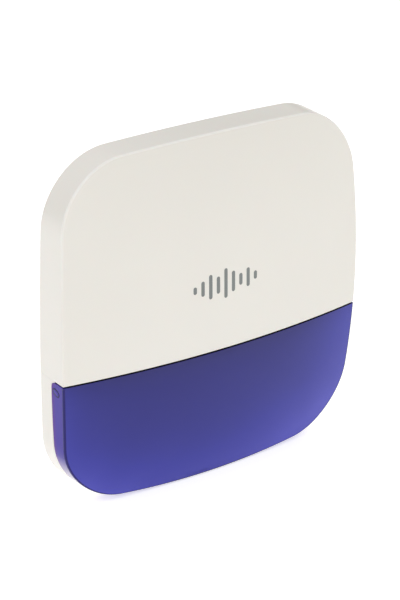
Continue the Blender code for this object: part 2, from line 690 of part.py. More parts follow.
def make_battery_tray():
    x0, x1, z0, z1 = TRAY
    floor_y = INNER_REAR_Y - TRAY_FLOOR
    tray = box((x0, TRAY_FRONT_Y, z0), (x1, INNER_REAR_Y, z1))
    cut(tray, box((x0 + TRAY_WALL, TRAY_FRONT_Y - 5 * MM, z0 + TRAY_WALL),
                  (x1 - TRAY_WALL, floor_y, z1 - TRAY_WALL)))
    part(tray, "battery_tray", "black_plastic")
    column = (x1 - x0) / 4
    centre_z = (z0 + z1) / 2
    pair = CELL_LENGTH + 0.8 * MM
    for i in range(4):
        x = x0 + column * (1.1 if i % 2 == 0 else 2.9)
        up = 1 if i < 2 else -1
        z = centre_z + up * pair / 2
        cell = rod((x, CELL_Y, z), CELL_RADIUS, CELL_LENGTH - 1.4 * MM, "Z", sides=28)
        tip = z + up * (CELL_LENGTH / 2 - 0.5 * MM)
        join(cell, rod((x, CELL_Y, tip), 3.2 * MM, 1.6 * MM, "Z", sides=20))
        part(cell, f"battery_{i + 1}", "cell_wrap")
        end = centre_z + up * ((z1 - z0) / 2 - TRAY_WALL - GAP - CONTACT_THICK)
        low, high = sorted((end, end + up * CONTACT_THICK))
        contact = box((x - 6 * MM, CELL_Y - 2 * MM, low), (x + 6 * MM, floor_y - GAP, high))
        part(contact, f"battery_contact_{i + 1}", "brass")


def make_tamper():
    """A spring-loaded plunger through the tray's back: it senses the bracket."""
    x, z = TAMPER_X, TAMPER_Z
    rear, front = FLOOR_Y - GAP, -24 * MM
    body = box((x - 6 * MM, front, z - 6 * MM), (x + 6 * MM, rear, z + 6 * MM), bevel=0.5 * MM, segments=1)
    cut(body, rod((x, rear - 6.2 * MM, z), 3.9 * MM, 12.6 * MM, "Y", sides=24))
    cut(body, rod((x, front, z), 2.0 * MM, 8 * MM, "Y", sides=20))
    part(body, "tamper_switch_body", "black_plastic")
    tip_y = -(BRACKET_THICK + GAP)
    shaft_end = -22.8 * MM
    plunger = rod((x, (tip_y + shaft_end) / 2, z), 1.6 * MM, abs(shaft_end - tip_y), "Y", sides=18)
    join(plunger, rod((x, rear - 1.1 * MM, z), 3.3 * MM, 1.2 * MM, "Y", sides=24))
    part(plunger, "tamper_plunger", "white_plastic")
    start, end = rear - 2.4 * MM, front + 3.2 * MM
    turns, per_turn = 5, 12
    coil = []
    for i in range(turns * per_turn + 1):
        angle = 2 * math.pi * i / per_turn
        y = start + (end - start) * i / (turns * per_turn)
        coil.append((x + 2.7 * MM * math.cos(angle), y, z + 2.7 * MM * math.sin(angle)))
    part(wire(coil, 0.3 * MM), "tamper_spring", "steel")


def make_power_switch():
    """A slide switch at the foot of the main board, shown in its off position."""
    front = MAIN_BOARD_Y - BOARD_THICK - GAP
    x, z = SLIDER_X, SLIDER_Z
    body = box((x - 5.5 * MM, front - 4 * MM, z - 3 * MM), (x + 5.5 * MM, front, z + 3 * MM))
    slot_half, knob_long = 4.2 * MM, 4.4 * MM
    cut(body, box((x - slot_half, front - 5 * MM, z - 1.6 * MM),
                  (x + slot_half, front - 1.2 * MM, z + 1.6 * MM)))
    part(body, "power_switch_body", "steel")
    left = x - slot_half + GAP
    knob = box((left, front - 6.2 * MM, z - 1.2 * MM),
               (left + knob_long, front - 1.6 * MM, z + 1.2 * MM), bevel=0.3 * MM, segments=1)
    part(knob, "power_switch_slider", "black_plastic")


def make_pairing_button():
    front = MAIN_BOARD_Y - BOARD_THICK - GAP
    x, z = BUTTON_X, BUTTON_Z
    base = box((x - 3.5 * MM, front - 4 * MM, z - 3.5 * MM), (x + 3.5 * MM, front, z + 3.5 * MM))
    cut(base, rod((x, front - 4 * MM, z), 2.1 * MM, 5.4 * MM, "Y", sides=24))
    part(base, "pairing_button_base", "grey_plastic")
    cap = rod((x, front - 4.2 * MM, z), 1.7 * MM, 2.8 * MM, "Y", sides=24)
    part(cap, "pairing_button_cap", "black_plastic")


def make_leads():
    """The pairs of wires from the sounder and from the battery tray to the main board."""
    front = MAIN_BOARD_Y - BOARD_THICK - GAP
    for name, shift, colour in (("red", 0.0, "red_wire"), ("black", 1.5 * MM, "black_wire")):
        sounder = [
            (-41 * MM, -24.4 * MM, -24 * MM), (-41 * MM, -27 * MM, -20 * MM),
            (-41 * MM, -30.2 * MM, -12 * MM), (-41.5 * MM, -29.6 * MM, -4 * MM),
            (-42 * MM, -26 * MM, 4 * MM), (-43 * MM, front - 3 * MM, 10 * MM),
            (-43 * MM, front - 0.9 * MM, 17 * MM),
        ]
        moved = [(x + 1.4 * shift, y, z) for x, y, z in sounder]
        part(wire(smooth_route(moved, 4), 0.6 * MM), f"sounder_lead_{name}", colour)
        battery = [
            (24 * MM, -21 * MM, 31 * MM), (18 * MM, -25 * MM, 35 * MM), (6 * MM, -28.4 * MM, 42 * MM),
            (-2 * MM, -28.4 * MM, 42.3 * MM), (-4 * MM, -26 * MM, 42.3 * MM),
            (-4 * MM, -22.5 * MM, 42.3 * MM),
        ]
        moved = [(x + shift, y, z + shift) for x, y, z in battery]
        start = (TRAY[0] - GAP, -20.5 * MM, 30 * MM + shift)
        part(wire(smooth_route([start, *moved], 4), 0.5 * MM), f"battery_lead_{name}", colour)


def make_ribbon():
    """A flat link from the main board's foot to the back of the strobe board."""
    x0, x1, thick = 4 * MM, 12 * MM, 0.6 * MM
    run_y, low, high = -28.8 * MM, -46 * MM, 13 * MM
    board_front = MAIN_BOARD_Y - BOARD_THICK - GAP
    strip = box((x0, run_y, low), (x1, run_y + thick, high))
    top = box((x0, run_y, high - thick), (x1, board_front, high))
    foot = box((x0, STROBE_BOARD_Y + GAP, low), (x1, run_y + thick, low + thick))
    join(strip, top, foot)
    part(strip, "strobe_ribbon", "grey_plastic")


# ---------------------------------------------------------------- bracket body

def make_wall_bracket():
    hole_places = [(x, z) for x in (-WALL_HOLE_X, WALL_HOLE_X) for z in (-WALL_HOLE_Z, WALL_HOLE_Z)]
    holes = [circle(x, z, WALL_HOLE_RADIUS) for x, z in hole_places]
    windows = [rectangle(-34 * MM, 34 * MM, low, low + 26 * MM) for low in (-40 * MM, 14 * MM)]
    edge = rounded_square(BRACKET_HALF, BRACKET_RADIUS)
    bracket = plate([edge, *holes, *windows], 0.0, -BRACKET_THICK)
    lip_rear = FLOOR_Y - 0.5 * MM
    lip_front = lip_rear - 2 * MM
    for x in (-HOOK_X, HOOK_X):
        for z in (-HOOK_Z, HOOK_Z):
            x0, x1 = x - STEM_HALF_WIDTH, x + STEM_HALF_WIDTH
            stem = box((x0, lip_front, z - STEM_HEIGHT), (x1, -BRACKET_THICK + 1 * MM, z))
            lip = box((x0, lip_front, z - STEM_HEIGHT), (x1, lip_rear, z + LIP_HEIGHT))
            join(bracket, stem, lip)
    tab = box((-9 * MM, -BRACKET_THICK, -TUB_HALF - 4.4 * MM), (9 * MM, 0, -BRACKET_HALF + 3 * MM))
    shelf = box((-9 * MM, -19 * MM, -TUB_HALF - 4.4 * MM), (9 * MM, 0, -TUB_HALF - 1.6 * MM))
    join(bracket, tab, shelf)
    cut(bracket, rod((0, LOCK_Y, -TUB_HALF - 3 * MM), 1.8 * MM, 8 * MM, "Z", sides=16))
    for x, z in hole_places:
        cut(bracket, rod((x, -BRACKET_THICK, z), 4.6 * MM, 2.4 * MM, "Y", sides=20))
    return part(bracket, "wall_bracket", "grey_plastic")


def main():
    make_wall_bracket()
    make_screw("lock_screw", (0, LOCK_Y, -TUB_HALF - 6.5 * MM), (0, 0, 1), "Z", length=7 * MM)
    make_rear_housing()
    make_gasket()
    make_hinge_pins()
    make_main_board()
    make_strobe_board()
    make_sounder()
    make_battery_tray()
    make_tamper()
    make_power_switch()
    make_pairing_button()
    make_leads()
    make_ribbon()
    make_front_cover()
    make_lens_carrier()
    make_strobe_lens()
    for i, x in enumerate(CARRIER_SCREW_XS):
        head = (x, TAB_REAR_Y + 1.8 * MM + GAP, CARRIER_SCREW_Z)
        make_screw(f"carrier_screw_{i + 1}", head, (0, -1, 0), "Y", 2.4 * MM, 0.7 * MM, 4.6 * MM)
    for name, side in (("cover_screw_left", -1), ("cover_screw_right", 1)):
        head = (side * COVER_SCREW_X, COVER_SCREW_Y, -99.2 * MM)
        make_screw(name, head, (0, 0, 1), "Z", 2.4 * MM, 1.4 * MM, 15 * MM)


main()
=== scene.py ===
"""Looks of the alarm siren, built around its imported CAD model."""
import json
import math

import bmesh
import bpy
import numpy as np
from mathutils import Matrix, Vector


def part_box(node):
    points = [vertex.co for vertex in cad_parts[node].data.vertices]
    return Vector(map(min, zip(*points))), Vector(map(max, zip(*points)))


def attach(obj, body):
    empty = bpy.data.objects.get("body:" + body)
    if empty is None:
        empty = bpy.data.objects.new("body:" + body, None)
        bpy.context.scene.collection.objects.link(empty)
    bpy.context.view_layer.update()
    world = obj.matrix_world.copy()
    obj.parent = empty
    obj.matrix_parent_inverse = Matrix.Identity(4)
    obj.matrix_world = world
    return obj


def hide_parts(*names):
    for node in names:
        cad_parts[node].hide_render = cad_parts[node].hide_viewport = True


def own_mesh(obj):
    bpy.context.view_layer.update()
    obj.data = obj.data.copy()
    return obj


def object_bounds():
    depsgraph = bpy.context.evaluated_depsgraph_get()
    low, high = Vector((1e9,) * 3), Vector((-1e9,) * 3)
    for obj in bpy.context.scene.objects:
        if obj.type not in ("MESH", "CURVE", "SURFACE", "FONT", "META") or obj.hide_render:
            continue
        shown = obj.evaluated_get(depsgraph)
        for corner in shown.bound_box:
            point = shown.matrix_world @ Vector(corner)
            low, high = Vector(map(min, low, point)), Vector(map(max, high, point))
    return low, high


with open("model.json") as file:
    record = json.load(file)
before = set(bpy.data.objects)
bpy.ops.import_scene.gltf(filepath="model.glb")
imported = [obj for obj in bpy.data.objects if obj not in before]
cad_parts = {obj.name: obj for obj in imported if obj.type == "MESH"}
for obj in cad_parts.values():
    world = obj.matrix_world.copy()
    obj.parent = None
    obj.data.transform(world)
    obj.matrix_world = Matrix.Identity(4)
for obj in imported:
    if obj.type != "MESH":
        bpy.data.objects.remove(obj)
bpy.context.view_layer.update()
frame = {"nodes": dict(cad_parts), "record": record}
NODES = frame["nodes"]
MM = 0.001

# The shell's form, as the CAD has it
REAR_HALF, REAR_RADIUS, REAR_BOW = 99.3 * MM, 38.2 * MM, 2.4 * MM
FRONT_HALF, FRONT_RADIUS, FRONT_BOW = 100 * MM, 33.9 * MM, 5.4 * MM
SHELL_REAR_Y = -22 * MM
CROWN_Y, CROWN_Z, DOME = -53.4 * MM, -7 * MM, 0.87
WALL = 2.4 * MM
SEAM_Z = -21.8 * MM
LENS_REAR_Y = -32.75 * MM
LENS_CORNER = 3.5 * MM
LENS_TOP_Z = SEAM_Z - 0.9 * MM
BAND_TOP_Z = SEAM_Z - 0.08 * MM
FRONT_ROUND, SEAM_ROUND, REAR_ROUND = 0.9 * MM, 0.25 * MM, 0.35 * MM
LEDGE_REAR_Y, LEDGE_FRONT_Y = -29.2 * MM, -31.6 * MM

# Printed mark: plain upright bars
MARK_HEIGHTS = [h * MM for h in (4.2, 8.6, 14.0, 9.8, 17.0, 11.8, 6.8, 10.8, 4.8)]
MARK_PITCH, MARK_WIDTH, MARK_LIFT, MARK_Z = 5.1 * MM, 2.2 * MM, 0.05 * MM, 16.5 * MM

# Tamper spring
SPRING_WIRE, SPRING_TURNS, TAMPER_TRAVEL = 0.3 * MM, 5, 2.0 * MM

# Snap catch in each side of the lens
CATCH_Y, CATCH_Z = -37.3 * MM, SEAM_Z - 6.1 * MM
CATCH_LENGTH, CATCH_WIDTH, CATCH_TILT = 2.7 * MM, 2.9 * MM, math.radians(17)
# Each ring of the catch: mm outside half its width, and mm outside the lens's wall
GROOVE_RINGS = ((0.50, -0.5), (0.42, 0.11), (-0.32, 0.11), (-0.40, -0.5))
NUB_RINGS = ((-0.26, -0.5), (-0.30, 0.13), (-0.5, 0.17))
LUG_X, LUG_HALF_THICK = 93 * MM, 1.5 * MM

# Hinge hooks, screw tabs, bosses and posts of the cover
HINGE_X, HINGE_Y, HINGE_Z = 45 * MM, -22.4 * MM, 93 * MM
HOOK_RADIUS, HOOK_WIDTH, PIN_HOLE = 3 * MM, 5 * MM, 1.5 * MM
TAB_XS = (-60 * MM, 0.0, 60 * MM)
TAB_HALF_WIDTH, TAB_HOLE, TAB_HEIGHT = 5 * MM, 1.5 * MM, 14 * MM
TAB_HOLE_Z = SEAM_Z + 10 * MM
TAB_REAR_Y, TAB_FRONT_Y, BOSS_END_Y = -33.5 * MM, -35.7 * MM, -36 * MM
COVER_SCREW_X, COVER_SCREW_Y = 30 * MM, -28.4 * MM
SCREW_SEAT_Z, POST_END_Z, POST_MOUTH_Z = -97 * MM, -92.6 * MM, -99.2 * MM

# Small parts on the boards, in mm
PART_ROWS_Z, PARTS_IN_ROW = (57.5, 60.5, 33.0, 30.2, 27.4), 9
FIRST_PART_X, PART_PITCH = -27, 2.3
CANS = ((12, 58, 3.1, 5.4), (12, 49.5, 3.1, 5.4), (-44, 32, 2.6, 5.2))
CRYSTAL_X, CRYSTAL_Z = -21, 22.5
CHIP_LEGS = 11

# Painted light in the lens: how much lighter its tint is drawn, its base, then a share and its reach in mm
# from each edge
GLOW_BASE = 0.33
GLOW_RIGHT, GLOW_LEFT, GLOW_FOOT, GLOW_SEAM = (0.44, 25), (0.22, 12), (0.46, 22), (-0.16, 7)

# Studio: the floor's own light, the sky's two tones, and the lamps
FLOOR_GLOW, FLOOR_HALF = 0.58, 6.0
SKY_SIDE, SKY_TOP = (0.225, 0.214, 0.175), (1.172, 1.163, 1.165)
FRONT_PLACE, FRONT_SIZE = (-0.25, -1.6, 0.1), (1.2, 0.7)
FRONT_POWER, FRONT_COLOUR = 1.03, (1.0, 0.937, 0.64)
CORNER_PLACE, CORNER_AIM, CORNER_SIZE = (-0.9, -0.5, 1.1), (-0.07, -0.03, 0.07), (0.7, 0.7)
CORNER_POWER, CORNER_COLOUR = 1.98, (0.81, 0.83, 1.0)

# Camera
CAMERA_PLACE = Vector((-0.67868, -0.91799, 0.48597))
CAMERA_FORWARD = Vector((0.556642, 0.728146, -0.39994))
CAMERA_LENS, CAMERA_ROLL = 133.33, math.radians(1.202)


# ---------------------------------------------------------------- node helpers

class Nodes:
    """Short calls for building one material's node tree."""

    def __init__(self, name):
        self.material = bpy.data.materials.new(name)
        self.material.use_nodes = True
        self.tree = self.material.node_tree
        self.shader = self.tree.nodes["Principled BSDF"]

    def add(self, kind, **values):
        node = self.tree.nodes.new(kind)
        for name, value in values.items():
            if name in node.inputs:
                node.inputs[name].default_value = value
            else:
                setattr(node, name, value)
        return node

    def link(self, source, target):
        self.tree.links.new(source, target)

    def set(self, **values):
        for name, value in values.items():
            self.shader.inputs[name.replace("_", " ")].default_value = value

    def position(self):
        return self.add("ShaderNodeTexCoord").outputs["Object"]

    def flat_position(self):
        """The object's coordinates with X and Z first, for patterns on upright boards."""
        parts, joined = self.add("ShaderNodeSeparateXYZ"), self.add("ShaderNodeCombineXYZ")
        self.link(self.position(), parts.inputs[0])
        for source, target in (("X", "X"), ("Z", "Y"), ("Y", "Z")):
            self.link(parts.outputs[source], joined.inputs[target])
        return joined.outputs[0]

    def part_of(self, vector, axis):
        parts = self.add("ShaderNodeSeparateXYZ")
        self.link(vector, parts.inputs[0])
        return parts.outputs[axis]

    def above(self, value, edge, soft=0.01):
        """1 where a value is over an edge, 0 where it is under."""
        node = self.add("ShaderNodeMapRange")
        node.inputs["From Min"].default_value = edge
        node.inputs["From Max"].default_value = edge + soft
        self.link(value, node.inputs["Value"])
        return node.outputs["Result"]

    def noise(self, scale, detail=2.0, roughness=0.5, vector=None):
        node = self.add("ShaderNodeTexNoise", Scale=scale, Detail=detail, Roughness=roughness)
        self.link(vector or self.position(), node.inputs["Vector"])
        return node.outputs["Fac"]

    def spread(self, value, low, high):
        """Maps a 0 to 1 value to low to high."""
        node = self.add("ShaderNodeMapRange")
        node.inputs["To Min"].default_value = low
        node.inputs["To Max"].default_value = high
        self.link(value, node.inputs["Value"])
        return node.outputs["Result"]

    def ramp(self, value, stops):
        node = self.add("ShaderNodeValToRGB")
        elements = node.color_ramp.elements
        while len(elements) < len(stops):
            elements.new(0.5)
        for element, (place, colour) in zip(elements, stops):
            element.position = place
            element.color = (*colour, 1.0)
        self.link(value, node.inputs["Fac"])
        return node.outputs["Color"]

    def mix(self, factor, first, second, blend="MIX"):
        node = self.add("ShaderNodeMix", data_type="RGBA", blend_type=blend)
        for socket, value in ((node.inputs[0], factor), (node.inputs[6], first), (node.inputs[7], second)):
            if isinstance(value, bpy.types.NodeSocket):
                self.link(value, socket)
            elif isinstance(value, tuple):
                socket.default_value = (*value, 1.0)
            else:
                socket.default_value = value
        return node.outputs[2]

    def colour(self, socket):
        self.link(socket, self.shader.inputs["Base Color"])

    def roughness(self, socket):
        self.link(socket, self.shader.inputs["Roughness"])

    def bump(self, height, distance, strength=1.0):
        node = self.add("ShaderNodeBump", Strength=strength, Distance=distance)
        self.link(height, node.inputs["Height"])
        self.link(node.outputs["Normal"], self.shader.inputs["Normal"])


def moulded(name, colour, rough, grain=0.0, grain_size=0.35 * MM, vary=0.03, **more):
    """Moulded plastic: a faint mottle in its colour and gloss, and an optional spark-eroded grain."""
    n = Nodes(name)
    light = tuple(min(1.0, c * (1 + vary)) for c in colour)
    dark = tuple(c * (1 - vary) for c in colour)
    n.colour(n.ramp(n.noise(45.0, 3.0), [(0.35, dark), (0.65, light)]))
    n.roughness(n.spread(n.noise(160.0, 4.0), rough - 0.04, rough + 0.04))
    if grain:
        n.bump(n.noise(1 / grain_size, 2.0), grain)
    n.set(**more)
    return n.material


def metal(name, colour, rough, brush=(1, 1, 1), scale=900.0):
    """Plated or brushed metal: fine streaks along one axis."""
    n = Nodes(name)
    n.set(Metallic=1.0)
    mapping = n.add("ShaderNodeMapping")
    mapping.inputs["Scale"].default_value = brush
    n.link(n.position(), mapping.inputs["Vector"])
    streaks = n.noise(scale, 3.0, vector=mapping.outputs["Vector"])
    dark = tuple(c * 0.86 for c in colour)
    n.colour(n.ramp(streaks, [(0.3, dark), (0.7, colour)]))
    n.roughness(n.spread(streaks, rough - 0.07, rough + 0.1))
    n.bump(streaks, 0.01 * MM)
    return n.material


# ---------------------------------------------------------------- materials

def white_plastic():
    """Glossy white ABS with the slight unevenness of a moulded face, and a painted highlight on its upper
    front rim.
    """
    n = Nodes("siren_white")
    tone = n.ramp(n.noise(9.0, 2.0), [(0.3, (0.795, 0.775, 0.725)), (0.7, (0.815, 0.797, 0.748))])
    # Painted highlight: the rounded front rim (attribute edge) is drawn lighter, more so towards the top.
    rim = n.add("ShaderNodeAttribute", attribute_name="edge").outputs["Fac"]
    upper = n.above(n.part_of(n.position(), "Z"), 20 * MM, 60 * MM)
    light = n.mix(upper, tone, (0.86, 0.85, 0.815))
    n.colour(n.mix(n.above(rim, 0.55, 0.45), tone, light))
    n.roughness(n.spread(n.noise(130.0, 3.0), 0.27, 0.33))
    n.set(IOR=1.52, Subsurface_Weight=0.06, Subsurface_Scale=2 * MM, Coat_Weight=0.15, Coat_Roughness=0.12)
    n.bump(n.noise(700.0, 2.0), 0.004 * MM, 0.5)
    return n.material


def blue_lens():
    """Tinted polycarbonate over a dark inside. The attribute glow is painted light, how much lighter the tint
    is drawn, wall is 1 at the rear edge of the side wall, and edge and slot mark the front rim and the seam;
    the seam is painted near-black as painted shade.
    The side wall is painted pale where it turns under at the lower corners, as painted light from the floor
    below."""
    n = Nodes("siren_lens_blue")
    glow, wall, edge, slot = (n.add("ShaderNodeAttribute", attribute_name=name).outputs["Fac"]
                              for name in ("glow", "wall", "edge", "slot"))
    # Painted light: the tint is drawn lighter where glow is high, near the right and lower edges, and darker
    # towards the seam.
    tone = n.ramp(glow, [(0.0, (0.008, 0.008, 0.055)), (0.34, (0.017, 0.017, 0.195)),
                         (0.6, (0.035, 0.037, 0.34)), (1.0, (0.072, 0.072, 0.48))])
    side = n.ramp(wall, [(0.0, (0.002, 0.002, 0.1)), (0.15, (0.024, 0.003, 0.31)),
                         (0.7, (0.028, 0.002, 0.33)), (0.95, (0.06, 0.001, 0.28)),
                         (1.0, (0.11, 0.002, 0.28))])
    # Painted light: the side wall is drawn pale where its normal turns down at the lower corners, for the
    # white floor's light seen in it.
    down = n.part_of(n.add("ShaderNodeTexCoord").outputs["Normal"], "Z")
    painted_floor_light = n.ramp(n.above(down, -1.0, 1.0), [(0.0, (0.12,) * 3), (0.08, (0.5,) * 3), (0.22, (1.0,) * 3),
                                             (0.76, (0.0,) * 3)])
    side = n.mix(painted_floor_light, side, (0.58, 0.52, 0.60))
    tone = n.mix(n.above(wall, 0.02, 0.03), tone, side)
    cloud = n.ramp(n.noise(14.0, 2.0), [(0.3, (0.92, 0.92, 0.95)), (0.7, (1.0, 1.0, 1.0))])
    tone = n.mix(1.0, tone, cloud, "MULTIPLY")
    tone = n.mix(n.above(edge, 0.25, 0.6), tone, (0.006, 0.002, 0.13))
    # Painted shade: the faces in the seam and its lip are near-black and rough, for the shade in the slot
    # under the cover.
    n.colour(n.mix(slot, tone, (0.001, 0.001, 0.004)))
    fine = n.spread(n.noise(220.0, 2.0), 0.06, 0.10)
    n.roughness(n.mix(slot, fine, (0.9, 0.9, 0.9)))
    n.set(**{"IOR": 1.48, "Specular IOR Level": 0.37})
    return n.material


def circuit_board():
    """Green solder mask over copper tracks, with small tinned pads."""
    n = Nodes("board_green")
    flat = n.flat_position()
    tracks = n.add("ShaderNodeTexBrick", offset=0.37, **{
        "Scale": 330.0, "Mortar Size": 0.055, "Mortar Smooth": 0.2, "Brick Width": 1.7, "Row Height": 0.36})
    n.link(flat, tracks.inputs["Vector"])
    pads = n.add("ShaderNodeTexVoronoi", Scale=270.0, Randomness=0.75)
    n.link(flat, pads.inputs["Vector"])
    around = n.above(pads.outputs["Distance"], 0.13, 0.02)
    routed = n.above(n.noise(70.0, 1.0, vector=flat), 0.47, 0.03)
    mask = n.mix(tracks.outputs["Fac"], (0.008, 0.10, 0.035), (0.018, 0.19, 0.065))
    mask = n.mix(routed, (0.010, 0.115, 0.040), mask)
    n.colour(n.mix(around, (0.62, 0.60, 0.55), mask))
    n.roughness(n.spread(around, 0.30, 0.42))
    n.bump(tracks.outputs["Fac"], 0.03 * MM, 0.6)
    return n.material


def led_package():
    """A white ceramic base under a yellow phosphor dome."""
    n = Nodes("led_phosphor")
    behind = n.above(n.part_of(n.position(), "Y"), LED_BASE_Y, 0.05 * MM)
    phosphor = n.ramp(n.noise(900.0, 3.0), [(0.3, (0.80, 0.62, 0.09)), (0.7, (0.86, 0.72, 0.16))])
    n.colour(n.mix(behind, phosphor, (0.80, 0.80, 0.76)))
    n.roughness(n.spread(behind, 0.22, 0.5))
    n.set(IOR=1.5, Coat_Weight=0.3)
    n.bump(n.noise(1500.0, 2.0), 0.008 * MM)
    return n.material


def cell_wrap():
    """A shrunk film sleeve in two plain colours, with the bare steel ends of the cell."""
    n = Nodes("cell_sleeve")
    along = n.part_of(n.add("ShaderNodeTexCoord").outputs["Generated"], "Z")
    film = n.mix(n.above(along, 0.62, 0.01), (0.03, 0.13, 0.17), (0.55, 0.56, 0.55))
    film = n.mix(n.above(n.noise(600.0, 3.0), 0.62, 0.1), film, (0.05, 0.16, 0.20))
    bare = n.ramp(along, [(0.035, (1, 1, 1)), (0.05, (0, 0, 0)), (0.93, (0, 0, 0)), (0.945, (1, 1, 1))])
    n.colour(n.mix(bare, film, (0.62, 0.61, 0.59)))
    n.link(bare, n.shader.inputs["Metallic"])
    n.roughness(n.spread(n.noise(300.0, 3.0), 0.24, 0.36))
    n.bump(n.noise(420.0, 2.0), 0.03 * MM, 0.5)
    return n.material


def foam():
    """Closed-cell foam rubber."""
    n = Nodes("foam_black")
    cells = n.add("ShaderNodeTexVoronoi", Scale=1800.0)
    n.link(n.position(), cells.inputs["Vector"])
    shades = [(0.1, (0.012, 0.012, 0.012)), (0.7, (0.035, 0.035, 0.036))]
    n.colour(n.ramp(cells.outputs["Distance"], shades))
    n.roughness(n.spread(cells.outputs["Distance"], 0.75, 0.95))
    n.bump(cells.outputs["Distance"], 0.12 * MM, 0.8)
    return n.material


def ribbon_film():
    """A flat cable's film with the fine tinned conductors that show through it."""
    n = Nodes("ribbon_film")
    bands = n.add("ShaderNodeTexWave", bands_direction="X", Scale=157.0, Distortion=0.0)
    n.link(n.position(), bands.inputs["Vector"])
    wires = n.above(bands.outputs["Fac"], 0.55, 0.1)
    n.colour(n.mix(wires, (0.66, 0.66, 0.62), (0.40, 0.40, 0.39)))
    n.roughness(n.spread(n.noise(200.0, 3.0), 0.30, 0.42))
    n.bump(bands.outputs["Fac"], 0.05 * MM, 0.6)
    return n.material


def slot_looks():
    """A material for each of the record's slots that CAD parts use."""
    fine, coarse = 0.006 * MM, 0.014 * MM
    return {
        "white_plastic": moulded("housing_white", (0.78, 0.765, 0.72), 0.36, coarse, 0.5 * MM, 0.015),
        "natural_plastic": moulded("plastic_natural", (0.72, 0.70, 0.62), 0.42, fine),
        "grey_plastic": moulded("plastic_grey", (0.33, 0.34, 0.345), 0.48, coarse, 0.45 * MM),
        "black_plastic": moulded("plastic_black", (0.016, 0.016, 0.018), 0.42, coarse, 0.4 * MM, 0.12),
        "blue_lens": LENS,
        "gasket_rubber": foam(),
        "circuit_board": circuit_board(),
        "steel": metal("steel_zinc", (0.60, 0.60, 0.585), 0.30, (1, 6, 1)),
        "tinned_steel": metal("steel_tinned", (0.68, 0.68, 0.665), 0.26, (7, 1, 1)),
        "brass": metal("brass_plain", (0.70, 0.47, 0.19), 0.28, (1, 1, 5)),
        "led": led_package(),
        "cell_wrap": cell_wrap(),
        "ribbon_film": ribbon_film(),
        "red_wire": moulded("wire_red", (0.42, 0.016, 0.012), 0.38, fine, 0.3 * MM, 0.08),
        "black_wire": moulded("wire_black", (0.014, 0.014, 0.014), 0.40, fine, 0.3 * MM, 0.15),
    }


LED_BASE_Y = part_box("strobe_led_1")[0].y + 1.3 * MM
WHITE = white_plastic()
LENS = blue_lens()
LENS_SIDE = moulded("lens_side_violet", (0.024, 0.003, 0.31), 0.1, **{"Specular IOR Level": 0.4})
# Painted shade: a near-black ring stands in for the shade in the gap round each snap catch.
GROOVE_SHADE = moulded("lens_groove_painted_shade", (0.006, 0.004, 0.06), 0.35, **{"Specular IOR Level": 0.2})
MARK = moulded("mark_grey", (0.196, 0.214, 0.211), 0.35)
CERAMIC = moulded("ceramic_tan", (0.42, 0.28, 0.15), 0.45, 0.004 * MM, 0.2 * MM, 0.08)
LOOKS = slot_looks()


def dress_cad_nodes():
    """Every CAD part that still shows takes the material of its slot in the record."""
    for subpart in frame["record"]["subparts"]:
        for slot in NODES[subpart["node"]].material_slots:
            slot.material = LOOKS[subpart["material_slot"]]


# ---------------------------------------------------------------- mesh helpers

def new_piece(name, verts, faces, material):
    """Makes an object from points and faces, with the faces turned outwards."""
    mesh = bpy.data.meshes.new(name)
    mesh.from_pydata([tuple(v) for v in verts], [], faces)
    bm = bmesh.new()
    bm.from_mesh(mesh)
    bmesh.ops.recalc_face_normals(bm, faces=bm.faces)
    bm.to_mesh(mesh)
    bm.free()
    return finish_piece(name, mesh, material)


def finish_piece(name, mesh, material):
    """Makes an object of a mesh, shaded smooth but for its real edges."""
    mesh.shade_smooth()
    mesh.set_sharp_from_angle(angle=math.radians(32))
    mesh.materials.append(material)
    piece = bpy.data.objects.new(name, mesh)
    bpy.context.scene.collection.objects.link(piece)
    return piece


def rows_to_faces(count, length, closed=True):
    """Quads between consecutive rows of length points each."""
    faces = []
    last = length if closed else length - 1
    for row in range(count - 1):
        for i in range(last):
            j = (i + 1) % length
            a, b = row * length, (row + 1) * length
            faces.append((a + i, a + j, b + j, b + i))
    return faces


# ---------------------------------------------------------------- the shell's outlines

def bowed_outline(half, radius, bow, steps=60):
    """A closed rounded square with bulging sides, (x, z) counter-clockwise from the right side."""
    flat = half - bow
    centre = flat - radius
    points = []
    for quarter, (sx, sz) in enumerate([(1, 1), (-1, 1), (-1, -1), (1, -1)]):
        for step in range(steps + 1):
            angle = (quarter + step / steps) * math.pi / 2
            points.append((sx * centre + radius * math.cos(angle), sz * centre + radius * math.sin(angle)))
        a = points[-1]
        nx, nz = [(-1, 1), (-1, -1), (1, -1), (1, 1)][quarter]
        angle = (quarter + 1) * math.pi / 2
        b = (nx * centre + radius * math.cos(angle), nz * centre + radius * math.sin(angle))
        points += [(a[0] + (b[0] - a[0]) * t / steps, a[1] + (b[1] - a[1]) * t / steps)
                   for t in range(1, steps)]
    x, z = np.array(points).T
    bulge_x = bow * (x / flat) * (1 - (z / flat) ** 2)
    bulge_z = bow * (z / flat) * (1 - (x / flat) ** 2)
    return np.stack([x + bulge_x, z + bulge_z], 1)


def crossing(points, z_cut, side):
    """Where a closed outline crosses a height on one side: a place in its list, with a fraction."""
    following = np.roll(points, -1, axis=0)
    hit = (points[:, 1] - z_cut) * (following[:, 1] - z_cut) <= 0
    hit &= np.sign(points[:, 0]) == side
    i = int(np.argmax(hit))
    return i + (z_cut - points[i, 1]) / (following[i, 1] - points[i, 1])


